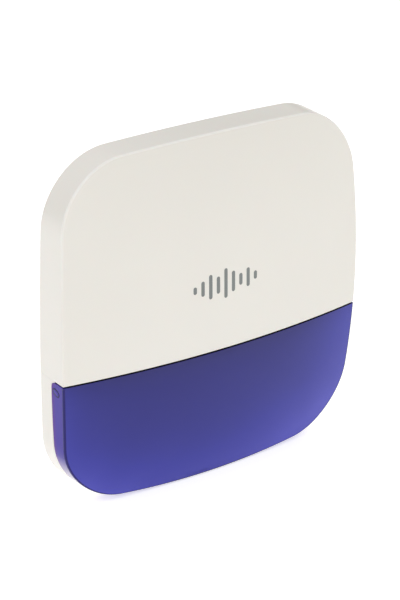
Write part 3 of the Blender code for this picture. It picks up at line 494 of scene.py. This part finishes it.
def stretch(points, z_cut, upper, fractions):
    """The part of an outline above or below a height, sampled at fractions of its length.
    It runs counter-clockwise, so from right to left above and from left to right below."""
    count = len(points)
    start, end = crossing(points, z_cut, 1 if upper else -1), crossing(points, z_cut, -1 if upper else 1)
    if end < start:
        end += count
    places = np.concatenate([[start], np.arange(math.floor(start) + 1, math.ceil(end)), [end]])
    low = np.floor(places).astype(int)
    f = (places - low)[:, None]
    path = points[low % count] * (1 - f) + points[(low + 1) % count] * f
    length = np.concatenate([[0], np.cumsum(np.hypot(*np.diff(path, axis=0).T))])
    want = fractions * length[-1]
    return np.stack([np.interp(want, length, path[:, 0]), np.interp(want, length, path[:, 1])], 1)


def arc_fractions(count, dense=14, end=0.016):
    """Fractions from 0 to 1 that lie closer together near both ends."""
    edge = np.linspace(0, end, dense, endpoint=False)
    return np.concatenate([edge, np.linspace(end, 1 - end, count), (1 - edge)[::-1]])


def dome_y(x, z, depth=0.0):
    """How far forward the dome stands at a place, or a surface some depth under it."""
    return CROWN_Y + depth + DOME * (x * x + (z - CROWN_Z) ** 2)


def lens_rear_y(z):
    """The rear edge of the lens's side wall, which rounds forward near the seam."""
    down = np.clip(LENS_TOP_Z - z, 0, LENS_CORNER)
    return LENS_REAR_Y - (LENS_CORNER - np.sqrt(LENS_CORNER ** 2 - (LENS_CORNER - down) ** 2))


# ---------------------------------------------------------------- cover and lens skins

def wall_spots(inset, z_cut, upper, fractions):
    """Matching points of the front and rear outlines on one side of a height."""
    front = bowed_outline(FRONT_HALF - inset, FRONT_RADIUS - inset, FRONT_BOW)
    rear = bowed_outline(REAR_HALF - inset, REAR_RADIUS - inset, REAR_BOW)
    return stretch(front, z_cut, upper, fractions), stretch(rear, z_cut, upper, fractions)


class Skin:
    """One face of a shell part, outer or inner: rows of points from its rear edge to its middle.
    Each row is a closed loop of the outline's stretch and then the straight seam. For each row, lip
    is 1 on the rounded front edge, and back is 1 at the rear edge and falls along the wall."""

    def __init__(self, inset, upper, z_cut, rear_y, rounds, scales):
        self.inset, self.rows, self.lip, self.back = inset, [], [], []
        front, rear = wall_spots(inset, z_cut, upper, arc_fractions(150))
        arc_count, seam_count = len(front), 70
        self.arc_count = arc_count
        x_end = abs(front[0, 0]) - (WALL - inset) - 0.4 * MM
        seam_x = np.linspace(-x_end, x_end, seam_count) * (1 if upper else -1)
        seam = np.stack([seam_x, np.full(seam_count, z_cut)], 1)
        self.loop = np.concatenate([front, seam])
        self.middle = np.array([0.0, (z_cut + (front[:, 1].max() if upper else front[:, 1].min())) / 2])
        rim = self.on_dome(self.loop)
        foot = np.insert(np.concatenate([rear, seam]), 1, SHELL_REAR_Y, axis=1)
        share = (rear_y(front[:, 1]) - rim[:arc_count, 1]) / (SHELL_REAR_Y - rim[:arc_count, 1])
        end = rim.copy()
        end[:arc_count] += (foot[:arc_count] - rim[:arc_count]) * share[:, None]
        end[arc_count:, 1] += WALL - inset - (0.3 * MM if inset == 0 else -0.02 * MM)
        inward = self.middle - self.loop
        inward /= np.linalg.norm(inward, axis=1)[:, None]
        radius = np.concatenate([np.full(arc_count, rounds[0]), np.full(seam_count, rounds[1])])
        radius[[0, arc_count - 1]] = rounds[1]
        self.add_wall(rim, end, inward, radius)
        for scale in scales:
            self.put(self.on_dome(self.middle + (self.loop - self.middle) * scale), 0.0)

    def on_dome(self, spots):
        return np.insert(spots, 1, dome_y(spots[:, 0], spots[:, 1], self.inset), axis=1)

    def put(self, row, lip, back=0.0):
        self.rows.append(row)
        self.lip.append(lip)
        self.back.append(back)

    def add_wall(self, rim, end, inward, radius):
        """The rear edge with its own small rounding, the wall, and the rounding to the dome."""
        along = end - rim
        reach = np.linalg.norm(along, axis=1)
        along /= reach[:, None]
        radius = np.minimum(radius, reach * 0.4)
        if self.inset == 0:
            small = np.minimum(REAR_ROUND, reach * 0.2)
            turn = end.copy()
            turn[:, [0, 2]] += inward * (small * 0.7)[:, None]
            self.put(turn, 0.0, 1.0)
            self.put(end - along * (small * 0.3)[:, None], 0.0, 1.0)
            end = end - along * small[:, None]
        self.put(end, 0.0, 1.0)
        top = rim + along * radius[:, None]
        for t in (0.25, 0.5, 0.75, 0.97):
            self.put(end + (top - end) * t, 0.0, 1 - 0.9 * t)
        landing = self.on_dome(self.loop + inward * radius[:, None])
        for t in ROUNDING_STEPS if self.inset == 0 else (0.0, 1.0):
            self.put((1 - t) ** 2 * top + 2 * t * (1 - t) * rim + t ** 2 * landing, 1.0)
        self.put(self.on_dome(self.loop + inward * (radius + 0.25 * MM)[:, None]), 0.25)
        self.put(self.on_dome(self.loop + inward * (radius + 1.8 * MM)[:, None]), 0.0)

    def tip(self):
        return self.on_dome(self.middle[None])


ROUNDING_STEPS = (0.0, 0.2, 0.4, 0.6, 0.8, 1.0)
SCALES = (0.95, 0.92, 0.88, 0.83, 0.77, 0.7, 0.6, 0.5, 0.38, 0.25, 0.12)


def make_skin(name, material, upper, z_cut, rear_y):
    """A closed shell part: its outer face, rear edge and inner face, each closed at the middle."""
    outer = Skin(0.0, upper, z_cut, rear_y, (FRONT_ROUND, SEAM_ROUND), SCALES)
    inner_cut = z_cut + (0.25 * MM if upper else -0.25 * MM)
    inner = Skin(WALL, upper, inner_cut, rear_y, (0.5 * MM, 0.1 * MM), SCALES[::2])
    rows = outer.rows[::-1] + inner.rows
    length = len(rows[0])
    verts = np.concatenate(rows + [outer.tip(), inner.tip()])
    faces = rows_to_faces(len(rows), length)
    first, last = len(verts) - 2, len(verts) - 1
    start = (len(rows) - 1) * length
    faces += [(i, (i + 1) % length, first) for i in range(length)]
    faces += [(start + i, start + (i + 1) % length, last) for i in range(length)]
    piece = new_piece(name, verts, faces, material)
    hidden = [0.0] * len(inner.rows)
    store(piece, "edge", np.append(np.repeat(outer.lip[::-1] + hidden, length), [0.0, 0.0]))
    store(piece, "wall", np.append(np.repeat(outer.back[::-1] + hidden, length), [0.0, 0.0]))
    store(piece, "slot", seam_shade_share(outer, inner, length))
    return piece


def seam_shade_share(outer, inner, length):
    """1 on the faces inside the seam and on its rounded lip, which the lens paints near-black as painted
    shade.
    """
    along_seam = (np.arange(length) >= outer.arc_count).astype(float)
    first_lip = outer.lip.index(1.0)
    last_lip = len(outer.lip) - 1 - outer.lip[::-1].index(1.0)
    share = [along_seam * (first_lip - 7 <= k <= last_lip - 3) for k in range(len(outer.rows))]
    inside = [along_seam * (k < 2) for k in range(len(inner.rows))]
    return np.concatenate(share[::-1] + inside + [[0.0, 0.0]])


def store(piece, name, values):
    """Keeps one number for each vertex, for the material to read."""
    layer = piece.data.attributes.new(name, "FLOAT", "POINT")
    layer.data.foreach_set("value", values.astype(np.float32))


def paint_lens_glow(piece):
    """Stores the lens's painted light, how much lighter its tint is drawn: most near the right and lower
    edges, least at the seam.
    """
    edge = bowed_outline(FRONT_HALF, FRONT_RADIUS, FRONT_BOW, steps=24)
    lower = edge[edge[:, 1] < SEAM_Z]
    foot = lower[lower[:, 1] < -88 * MM]
    left, right = lower[lower[:, 0] < -60 * MM], lower[lower[:, 0] > 60 * MM]
    flat = np.array([v.co for v in piece.data.vertices])[:, [0, 2]]

    def gap(points):
        return np.sqrt(((flat[:, None, :] - points[None]) ** 2).sum(2)).min(1) / MM

    glow = np.full(len(flat), GLOW_BASE)
    for away, (share, reach) in ((gap(right), GLOW_RIGHT), (gap(left), GLOW_LEFT), (gap(foot), GLOW_FOOT),
                                 ((SEAM_Z - flat[:, 1]) / MM, GLOW_SEAM)):
        glow += share * np.exp(-away / reach)
    store(piece, "glow", np.clip(glow, 0, 1))


def make_front_cover():
    """The white domed cover above the seam, with its full-depth wall."""
    cover = make_skin("cover_shell", WHITE, True, SEAM_Z, lambda z: np.full_like(z, SHELL_REAR_Y))
    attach(cover, "cover")
    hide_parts("front_cover")


def make_lens():
    """The blue lens below the seam, whose wall covers the front part of the depth."""
    lens = make_skin("lens_shell", LENS, False, LENS_TOP_Z, lens_rear_y)
    paint_lens_glow(lens)
    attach(lens, "cover")
    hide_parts("strobe_lens")


def band_row(inset, y_of, fractions):
    """A line round the white wall below the seam, at the depths that y_of gives."""
    front, rear = wall_spots(inset, BAND_TOP_Z, False, fractions)
    rim_y = dome_y(front[:, 0], front[:, 1])
    y = y_of(front[:, 1])
    spot = front + (rear - front) * ((y - rim_y) / (SHELL_REAR_Y - rim_y))[:, None]
    return np.insert(spot, 1, y, axis=1)


def make_band():
    """The white wall behind the lens's side wall, with the ledge that the lens stands on."""
    fractions = arc_fractions(170)
    gap, edge, r = 0.2 * MM, 0.15 * MM, REAR_ROUND

    def front_y(z):
        return lens_rear_y(z) + gap

    def level(y):
        return lambda z: np.full_like(z, y)

    lines = [
        (0.0, lambda z: front_y(z) + edge), (0.0, level(-28 * MM)), (0.0, level(-25 * MM)),
        (0.0, level(SHELL_REAR_Y - r)), (0.3 * r, level(SHELL_REAR_Y - 0.3 * r)),
        (r, level(SHELL_REAR_Y)), (WALL, level(SHELL_REAR_Y)), (WALL, level(LEDGE_REAR_Y)),
        (11 * MM, level(LEDGE_REAR_Y)), (11 * MM, level(LEDGE_FRONT_Y)),
        (WALL + 0.4 * MM, level(LEDGE_FRONT_Y)), (WALL, front_y), (edge, front_y),
    ]
    rows = [band_row(inset, y_of, fractions) for inset, y_of in lines]
    count, length = len(rows), len(rows[0])
    faces = []
    for k in range(count):
        a, b = k * length, ((k + 1) % count) * length
        faces += [(a + i, a + i + 1, b + i + 1, b + i) for i in range(length - 1)]
    faces.append([k * length for k in range(count)])
    faces.append([k * length + length - 1 for k in range(count)])
    band = new_piece("lens_band", np.concatenate(rows), faces, WHITE)
    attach(band, "cover")
    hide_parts("lens_carrier")


# ---------------------------------------------------------------- snap catches

def obround(radius, length, steps=12):
    """An obround's outline about the origin, its long way along the first axis."""
    spots = []
    for end in (1, -1):
        for step in range(steps + 1):
            angle = end * math.pi * (step / steps - 0.5) + (0 if end == 1 else math.pi)
            spots.append((end * length / 2 + radius * math.cos(angle), radius * math.sin(angle) * end))
    return spots


def wall_place(y, z):
    """How far from the middle plane the shell's side wall stands at one depth and height."""
    def reach(half, radius, bow):
        return stretch(bowed_outline(half, radius, bow), z, True, np.array([0.0]))[0, 0]

    front, rear = reach(FRONT_HALF, FRONT_RADIUS, FRONT_BOW), reach(REAR_HALF, REAR_RADIUS, REAR_BOW)
    front_y = dome_y(front, z)
    return front + (rear - front) * (y - front_y) / (SHELL_REAR_Y - front_y)


def catch_ring(radius, x):
    """The catch's outline at one distance from the middle plane, tilted down towards the front."""
    c, s = math.cos(CATCH_TILT), math.sin(CATCH_TILT)
    return [(x, CATCH_Y - u * c - v * s, CATCH_Z - u * s + v * c) for u, v in obround(radius, CATCH_LENGTH)]


def make_catch_part(name, rings, material, capped):
    """One turned part of the catch on each side: a ring all round, or a nub with closed ends."""
    wall_x = wall_place(CATCH_Y, CATCH_Z)
    for side, word in ((-1, "left"), (1, "right")):
        loops = [catch_ring(CATCH_WIDTH / 2 + wider * MM, side * (wall_x + out * MM)) for wider, out in rings]
        length = len(loops[0])
        verts = [spot for loop in loops for spot in loop]
        faces = rows_to_faces(len(loops), length)
        last = len(verts) - length
        if capped:
            faces.append(list(range(length)))
            faces.append(list(range(last, len(verts)))[::-1])
        else:
            faces += [(i, (i + 1) % length, last + (i + 1) % length, last + i) for i in range(length)]
        piece = new_piece(f"{name}_{word}", verts, faces, material)
        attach(piece, "cover")


def make_catches():
    """A nub of the carrier in each side of the lens, in a groove painted near-black as painted shade, flush
    with the lens.
    """
    make_catch_part("lens_catch_groove", GROOVE_RINGS, GROOVE_SHADE, False)
    make_catch_part("lens_catch", NUB_RINGS, LENS_SIDE, True)


# ---------------------------------------------------------------- inner detail

class Shapes:
    """Collects small forms into one piece."""

    def __init__(self):
        self.bm = bmesh.new()

    def block(self, low, high, soft=0.12 * MM):
        """A box with softened edges."""
        low, high = Vector(low), Vector(high)
        made = bmesh.ops.create_cube(self.bm, size=1.0)["verts"]
        bmesh.ops.scale(self.bm, vec=high - low, verts=made)
        bmesh.ops.translate(self.bm, vec=(low + high) / 2, verts=made)
        edges = list({edge for vert in made for edge in vert.link_edges})
        bmesh.ops.bevel(self.bm, geom=edges, offset=soft, segments=2, profile=0.5, affect="EDGES")

    def turned(self, profile, centre, axis="Y", sides=32):
        """A solid of revolution. profile runs from the axis out and back, as (radius, along)."""
        turn = {"Y": lambda u, v, w: (u, w, v), "Z": lambda u, v, w: (u, v, w)}[axis]
        rings = []
        for radius, along in profile:
            angles = [math.tau * i / sides for i in range(sides if radius else 1)]
            spots = [Vector(turn(radius * math.cos(a), radius * math.sin(a), along)) for a in angles]
            rings.append([self.bm.verts.new(spot + Vector(centre)) for spot in spots])
        for a, b in zip(rings, rings[1:]):
            for i in range(sides):
                j = (i + 1) % sides
                corners = [a[i % len(a)], a[j % len(a)], b[j % len(b)], b[i % len(b)]]
                self.bm.faces.new(list(dict.fromkeys(corners)))

    def plate(self, outlines, low, high, turn, soft=0.15 * MM):
        """A flat plate with holes, from closed (u, v) outlines, between two heights along w.
        turn gives a point's place from its u, v and w."""
        curve = bpy.data.curves.new("plate", "CURVE")
        curve.dimensions, curve.fill_mode = "2D", "BOTH"
        curve.extrude, curve.bevel_depth, curve.bevel_resolution = (high - low) / 2 - soft, soft, 1
        curve.offset = -soft
        for outline in outlines:
            spline = curve.splines.new("POLY")
            spline.points.add(len(outline) - 1)
            spline.points.foreach_set("co", [c for u, v in outline for c in (u, v, 0.0, 1.0)])
            spline.use_cyclic_u = True
        holder = bpy.data.objects.new("plate", curve)
        bpy.context.scene.collection.objects.link(holder)
        solid = holder.evaluated_get(bpy.context.evaluated_depsgraph_get())
        mesh = bpy.data.meshes.new_from_object(solid)
        bpy.data.objects.remove(holder)
        bpy.data.curves.remove(curve)
        for vert in mesh.vertices:
            u, v, w = vert.co
            vert.co = turn(u, v, w + (low + high) / 2)
        self.bm.from_mesh(mesh)
        bpy.data.meshes.remove(mesh)

    def tube(self, rings):
        """A closed prism through rings of points, capped at both ends."""
        rows = [[self.bm.verts.new(spot) for spot in ring] for ring in rings]
        for a, b in zip(rows, rows[1:]):
            for i in range(len(a)):
                j = (i + 1) % len(a)
                self.bm.faces.new((a[i], a[j], b[j], b[i]))
        self.bm.faces.new(rows[0])
        self.bm.faces.new(rows[-1][::-1])

    def piece(self, name, material, body, slot):
        """Turns the forms collected so far into one piece that rides on a body."""
        bmesh.ops.remove_doubles(self.bm, verts=self.bm.verts, dist=0.002 * MM)
        bmesh.ops.recalc_face_normals(self.bm, faces=self.bm.faces)
        mesh = bpy.data.meshes.new(name)
        self.bm.to_mesh(mesh)
        self.bm.free()
        made = finish_piece(name, mesh, material)
        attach(made, body)
        return made


def arc(centre, radius, first, last, steps=10):
    """Points of an arc between two angles in degrees."""
    angles = [math.radians(first + (last - first) * i / steps) for i in range(steps + 1)]
    return [(centre[0] + radius * math.cos(a), centre[1] + radius * math.sin(a)) for a in angles]


def round_corners(x0, x1, z0, z1, radius):
    """The outline of a rectangle with round corners."""
    spots = []
    for x, z, first in ((x1 - radius, z1 - radius, 0), (x0 + radius, z1 - radius, 90),
                        (x0 + radius, z0 + radius, 180), (x1 - radius, z0 + radius, 270)):
        spots += arc((x, z), radius, first, first + 90, 5)
    return spots


def make_hinge_hooks():
    """The cover's two hooks round the hinge pins, each with a web and a brace to the top wall."""
    hooks = Shapes()
    y, z = HINGE_Y, HINGE_Z
    wall_z = REAR_HALF - WALL + 0.5 * MM
    outline = arc((y, z), HOOK_RADIUS, 90, -180, 24)
    outline += [(y - HOOK_RADIUS, z + 1.2 * MM), (y - 9.4 * MM, z + 2.4 * MM)]
    outline += [(y - 10 * MM, wall_z), (y, wall_z)]
    hole = arc((y, z), PIN_HOLE, 0, 345, 23)
    for side in (-1, 1):
        x = side * HINGE_X
        hooks.plate([outline, hole], x - HOOK_WIDTH / 2, x + HOOK_WIDTH / 2, lambda u, v, w: (w, u, v))
    hooks.piece("cover_hinge_hooks", WHITE, "cover", "white_plastic")


def make_cover_bosses():
    """Screw bosses under the dome, each with a foot that widens into it."""
    bosses = Shapes()
    for x in TAB_XS:
        foot = dome_y(x, TAB_HOLE_Z, WALL)
        profile = [
            (0, BOSS_END_Y - 5 * MM), (1.0 * MM, BOSS_END_Y - 5 * MM), (1.0 * MM, BOSS_END_Y - 0.4 * MM),
            (1.3 * MM, BOSS_END_Y), (2.9 * MM, BOSS_END_Y), (3.2 * MM, BOSS_END_Y - 0.3 * MM),
            (3.2 * MM, foot + 1.4 * MM), (3.5 * MM, foot + 0.6 * MM), (4.4 * MM, foot + 0.1 * MM),
            (4.4 * MM, foot - 0.7 * MM), (0, foot - 0.7 * MM),
        ]
        bosses.turned(profile, (x, 0, TAB_HOLE_Z))
        for dx, dz in ((1, 0), (-1, 0), (0, 1)):
            near, far = 3.0 * MM, 6.5 * MM
            low = (x + min(dx * near, dx * far) - abs(dz) * 0.5 * MM, foot - 0.8 * MM,
                   TAB_HOLE_Z + min(dz * near, dz * far) - abs(dx) * 0.5 * MM)
            high = (x + max(dx * near, dx * far) + abs(dz) * 0.5 * MM, foot + 3 * MM,
                    TAB_HOLE_Z + max(dz * near, dz * far) + abs(dx) * 0.5 * MM)
            bosses.block(low, high)
    bosses.piece("cover_screw_bosses", WHITE, "cover", "white_plastic")


def make_carrier_frame():
    """The carrier's top wall, its screw tabs, and the lugs that end in the snap catches."""
    frame_parts = Shapes()
    top = SEAM_Z - 0.3 * MM
    half = 94 * MM
    xs = np.linspace(-half, half, 61)
    edge = [(x, dome_y(x, SEAM_Z, WALL + 0.5 * MM)) for x in xs]
    edge += [(half, LEDGE_REAR_Y), (-half, LEDGE_REAR_Y)]
    frame_parts.plate([edge], top - 2.2 * MM, top, lambda u, v, w: (u, v, w))
    for x in TAB_XS:
        outline = round_corners(x - TAB_HALF_WIDTH, x + TAB_HALF_WIDTH, top - 1 * MM,
                                SEAM_Z + TAB_HEIGHT, 1.5 * MM)
        hole = arc((x, TAB_HOLE_Z), TAB_HOLE, 0, 340, 17)
        frame_parts.plate([outline, hole], TAB_FRONT_Y, TAB_REAR_Y, lambda u, v, w: (u, w, v))
        for side in (-1, 1):
            low_x, high_x = sorted((x + side * 5.4 * MM, x + side * 4.2 * MM))
            frame_parts.block((low_x, TAB_FRONT_Y, top - 1 * MM),
                              (high_x, TAB_REAR_Y + 2 * MM, SEAM_Z + 5 * MM))
    for side in (-1, 1):
        frame_parts.block((side * LUG_X - LUG_HALF_THICK, -42 * MM, top - 10 * MM),
                          (side * LUG_X + LUG_HALF_THICK, -31 * MM, top - 0.5 * MM), 0.3 * MM)
        frame_parts.tube([catch_ring(CATCH_WIDTH / 2, side * x * MM) for x in (92.5, 97.2)])
    frame_parts.piece("carrier_frame", WHITE, "cover", "white_plastic")


def make_cover_screw_posts():
    """The carrier's posts for the two cover screws, with sunk seats for their heads."""
    posts = Shapes()
    seat, end, mouth = SCREW_SEAT_Z, POST_END_Z, POST_MOUTH_Z
    profile = [
        (1.8 * MM, seat), (1.8 * MM, end), (3.3 * MM, end), (3.5 * MM, end - 0.2 * MM), (3.5 * MM, mouth),
        (2.9 * MM, mouth), (2.8 * MM, mouth + 0.2 * MM), (2.8 * MM, seat), (1.8 * MM, seat),
    ]
    for side in (-1, 1):
        posts.turned(profile, (side * COVER_SCREW_X, COVER_SCREW_Y, 0), "Z")
    posts.piece("cover_screw_posts", WHITE, "cover", "white_plastic")


def add_small_parts(front, chips, ceramics, ends):
    """Rows of little chips on the main board, each with two solder ends, and a gap here and there."""
    for i in range(PARTS_IN_ROW):
        for row, z in enumerate(PART_ROWS_Z):
            x = FIRST_PART_X + PART_PITCH * i + 0.4 * (row % 2)
            if (i + 2 * row) % 5 == 4:
                continue
            body = ceramics if (i + row) % 3 == 0 else chips
            body.block(((x - 0.5) * MM, front - 0.5 * MM, (z - 0.45) * MM),
                       ((x + 0.5) * MM, front, (z + 0.45) * MM), 0.06 * MM)
            for end in (-0.75, 0.75):
                ends.block(((x + end - 0.27) * MM, front - 0.54 * MM, (z - 0.48) * MM),
                           ((x + end + 0.27) * MM, front, (z + 0.48) * MM), 0.06 * MM)


def add_chip_legs(front, ends):
    """Legs along all four sides of the controller chip."""
    low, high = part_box("controller_chip")
    near, far, half = 0.06 * MM, 1.1 * MM, 0.22 * MM
    for k in range(CHIP_LEGS):
        t = (k + 0.5) / CHIP_LEGS
        x, z = low.x + (high.x - low.x) * t, low.z + (high.z - low.z) * t
        for side, edge in ((-1, low.x), (1, high.x)):
            a, b = sorted((edge + side * near, edge + side * far))
            ends.block((a, front - 0.45 * MM, z - half), (b, front, z + half), 0.08 * MM)
        for side, edge in ((-1, low.z), (1, high.z)):
            a, b = sorted((edge + side * near, edge + side * far))
            ends.block((x - half, front - 0.45 * MM, a), (x + half, front, b), 0.08 * MM)


def add_cans(front, chips, cans):
    """Round capacitors on their square bases, and an oblong crystal."""
    for x, z, radius, height in CANS:
        chips.block(((x - radius) * MM, front - 0.8 * MM, (z - radius) * MM),
                    ((x + radius) * MM, front, (z + radius) * MM), 0.3 * MM)
        r, top = radius * 0.93 * MM, front - height * MM
        profile = [
            (0, front - 0.8 * MM), (r, front - 0.8 * MM), (r, front - 1.6 * MM),
            (r * 0.94, front - 1.9 * MM), (r, front - 2.2 * MM), (r, top + 0.3 * MM),
            (r * 0.93, top), (0, top),
        ]
        cans.turned(profile, (x * MM, 0, z * MM))
    cans.tube([[(CRYSTAL_X * MM + u, y, CRYSTAL_Z * MM + v) for u, v in obround(1.6 * MM, 5 * MM)]
               for y in (front, front - 2.6 * MM)])


def add_strobe_parts(front, chips, ends):
    """Solder pads beside each diode, and the resistor above it."""
    for k in range(1, 7):
        low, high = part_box(f"strobe_led_{k}")
        middle = (low.x + high.x) / 2
        for dx in (-5.2, 5.2):
            ends.block((middle + (dx - 0.4) * MM, front - 0.1 * MM, -56 * MM),
                       (middle + (dx + 0.4) * MM, front, -52 * MM), 0.04 * MM)
        chips.block((middle - 1.2 * MM, front - 0.6 * MM, -47.6 * MM),
                    (middle + 1.2 * MM, front, -46.4 * MM), 0.08 * MM)
        for dx in (-1.5, 1.5):
            ends.block((middle + (dx - 0.35) * MM, front - 0.64 * MM, -47.66 * MM),
                       (middle + (dx + 0.35) * MM, front, -46.34 * MM), 0.06 * MM)


def make_board_parts():
    """Small parts on the two boards, one piece for each material."""
    main_front, strobe_front = (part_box(name)[0].y - 0.05 * MM for name in ("main_board", "strobe_board"))
    chips, ends, ceramics, cans = Shapes(), Shapes(), Shapes(), Shapes()
    add_small_parts(main_front, chips, ceramics, ends)
    add_chip_legs(main_front, ends)
    add_cans(main_front, chips, cans)
    add_strobe_parts(strobe_front, chips, ends)
    chips.piece("board_chips", LOOKS["black_plastic"], "housing", "black_plastic")
    ends.piece("board_solder_ends", LOOKS["tinned_steel"], "housing", "tinned_steel")
    ceramics.piece("board_ceramics", CERAMIC, "housing", "natural_plastic")
    cans.piece("board_cans", LOOKS["tinned_steel"], "housing", "tinned_steel")


# ---------------------------------------------------------------- printed mark and tamper spring

def make_mark():
    """A printed mark of plain upright bars with round ends, like a sound level, lying along the dome."""
    half = MARK_WIDTH / 2
    turns = np.linspace(-math.pi / 2, 0, 6)
    end = np.column_stack([half * np.cos(turns), half * np.sin(turns)])
    end[0, 0] = 0.05 * MM
    verts, faces = [], []
    for i, height in enumerate(MARK_HEIGHTS):
        x0 = (i - (len(MARK_HEIGHTS) - 1) / 2) * MARK_PITCH
        straight = height / 2 - half
        rows = [(w, z - straight) for w, z in end]
        rows += [(half, z) for z in np.linspace(-straight, straight, 7)[1:-1]]
        rows += [(w, straight - z) for w, z in end[::-1]]
        start = len(verts)
        for w, dz in rows:
            x, z = np.array([x0 - w, x0 + w, x0 + w, x0 - w]), MARK_Z + dz
            y = dome_y(x, z) + np.array([-1, -1, 1, 1]) * MARK_LIFT
            verts += [(x[k], y[k], z) for k in range(4)]
        faces += [[start + v for v in face] for face in rows_to_faces(len(rows), 4)]
        last = len(verts) - 4
        faces += [[start, start + 1, start + 2, start + 3], [last + 3, last + 2, last + 1, last]]
    mark = new_piece("printed_mark", verts, faces, MARK)
    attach(mark, "cover")


def make_tamper_spring():
    """The tamper's coil spring, with closed ends."""
    low, high = (Vector(corner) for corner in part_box("tamper_spring"))
    middle, reach = (low + high) / 2, (high.x - low.x) / 2 - SPRING_WIRE
    first, length = low.y + SPRING_WIRE, high.y - low.y - 2 * SPRING_WIRE
    round_wire = [math.tau * k / 8 for k in range(8)]
    rings = []
    for share in np.linspace(0, 1, SPRING_TURNS * 20 + 1):
        angle = math.tau * SPRING_TURNS * share
        outward = Vector((math.cos(angle), 0, math.sin(angle)))
        y = first + length * (share - 0.09 * math.sin(math.tau * share))
        centre = Vector((middle.x, y, middle.z)) + reach * outward
        rings.append([centre + SPRING_WIRE * (math.cos(b) * outward + Vector((0, math.sin(b), 0)))
                      for b in round_wire])
    coil = Shapes()
    coil.tube(rings)
    spring = coil.piece("tamper_coil_spring", LOOKS["steel"], "housing", "steel")
    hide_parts("tamper_spring")
    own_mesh(spring)


# ---------------------------------------------------------------- stage, lights and camera

def make_stage():
    """A plain pale floor just under the object."""
    n = Nodes("floor_pale")
    n.colour(n.ramp(n.noise(3.0), [(0.3, (0.78, 0.78, 0.78)), (0.7, (0.80, 0.80, 0.80))]))
    n.set(Roughness=0.9, Emission_Color=(1, 1, 1, 1), Emission_Strength=FLOOR_GLOW)
    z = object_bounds()[0][2] - 0.4 * MM
    corners = [(x * FLOOR_HALF, y * FLOOR_HALF, z) for x, y in ((-1, -1), (1, -1), (1, 1), (-1, 1))]
    new_piece("floor", corners, [(0, 1, 2, 3)], n.material)


def make_world():
    """A plain studio: one tone at the sides, shading to another overhead, and white to the camera."""
    world = bpy.data.worlds.new("studio")
    bpy.context.scene.world = world
    world.use_nodes = True
    tree = world.node_tree
    sky = tree.nodes["Background"]
    height = tree.nodes.new("ShaderNodeSeparateXYZ")
    tree.links.new(tree.nodes.new("ShaderNodeTexCoord").outputs["Generated"], height.inputs[0])
    tone = tree.nodes.new("ShaderNodeMix")
    tone.data_type = "RGBA"
    tone.inputs[6].default_value = (*SKY_SIDE, 1.0)
    tone.inputs[7].default_value = (*SKY_TOP, 1.0)
    tree.links.new(height.outputs["Z"], tone.inputs[0])
    tree.links.new(tone.outputs[2], sky.inputs["Color"])
    backdrop = tree.nodes.new("ShaderNodeBackground")
    backdrop.inputs["Color"].default_value = (1, 1, 1, 1)
    seen = tree.nodes.new("ShaderNodeMixShader")
    tree.links.new(tree.nodes.new("ShaderNodeLightPath").outputs["Is Camera Ray"], seen.inputs[0])
    tree.links.new(sky.outputs[0], seen.inputs[1])
    tree.links.new(backdrop.outputs[0], seen.inputs[2])
    tree.links.new(seen.outputs[0], tree.nodes["World Output"].inputs["Surface"])


def area_light(name, place, aim, size, power, colour):
    light = bpy.data.lights.new(name, "AREA")
    light.shape = "RECTANGLE"
    light.size, light.size_y = size
    light.energy = power
    light.color = colour
    lamp = bpy.data.objects.new(name, light)
    bpy.context.scene.collection.objects.link(lamp)
    lamp.location = place
    lamp.rotation_euler = (Vector(aim) - Vector(place)).to_track_quat("-Z", "Y").to_euler()


def make_lights():
    """A broad soft lamp in front, and one high at the left for the corner."""
    area_light("front_soft", FRONT_PLACE, (0, 0, 0), FRONT_SIZE, FRONT_POWER, FRONT_COLOUR)
    area_light("corner_soft", CORNER_PLACE, CORNER_AIM, CORNER_SIZE, CORNER_POWER, CORNER_COLOUR)


def make_camera():
    """The camera in front at the upper left, with no shift and no depth of field."""
    camera = bpy.data.cameras.new("camera")
    camera.sensor_width = 36
    camera.lens = CAMERA_LENS
    camera.clip_start = 0.01
    eye = bpy.data.objects.new("camera", camera)
    bpy.context.scene.collection.objects.link(eye)
    level = CAMERA_FORWARD.to_track_quat("-Z", "Y").to_matrix().to_4x4()
    eye.matrix_world = Matrix.Translation(CAMERA_PLACE) @ level @ Matrix.Rotation(CAMERA_ROLL, 4, "Z")
    bpy.context.scene.camera = eye


# ---------------------------------------------------------------- the whole scene

dress_cad_nodes()
make_front_cover()
make_lens()
make_band()
make_catches()
make_hinge_hooks()
make_cover_bosses()
make_carrier_frame()
make_cover_screw_posts()
make_board_parts()
make_tamper_spring()
make_mark()
make_stage()
make_world()
make_lights()
make_camera()
bpy.context.scene.view_settings.view_transform = "Standard"
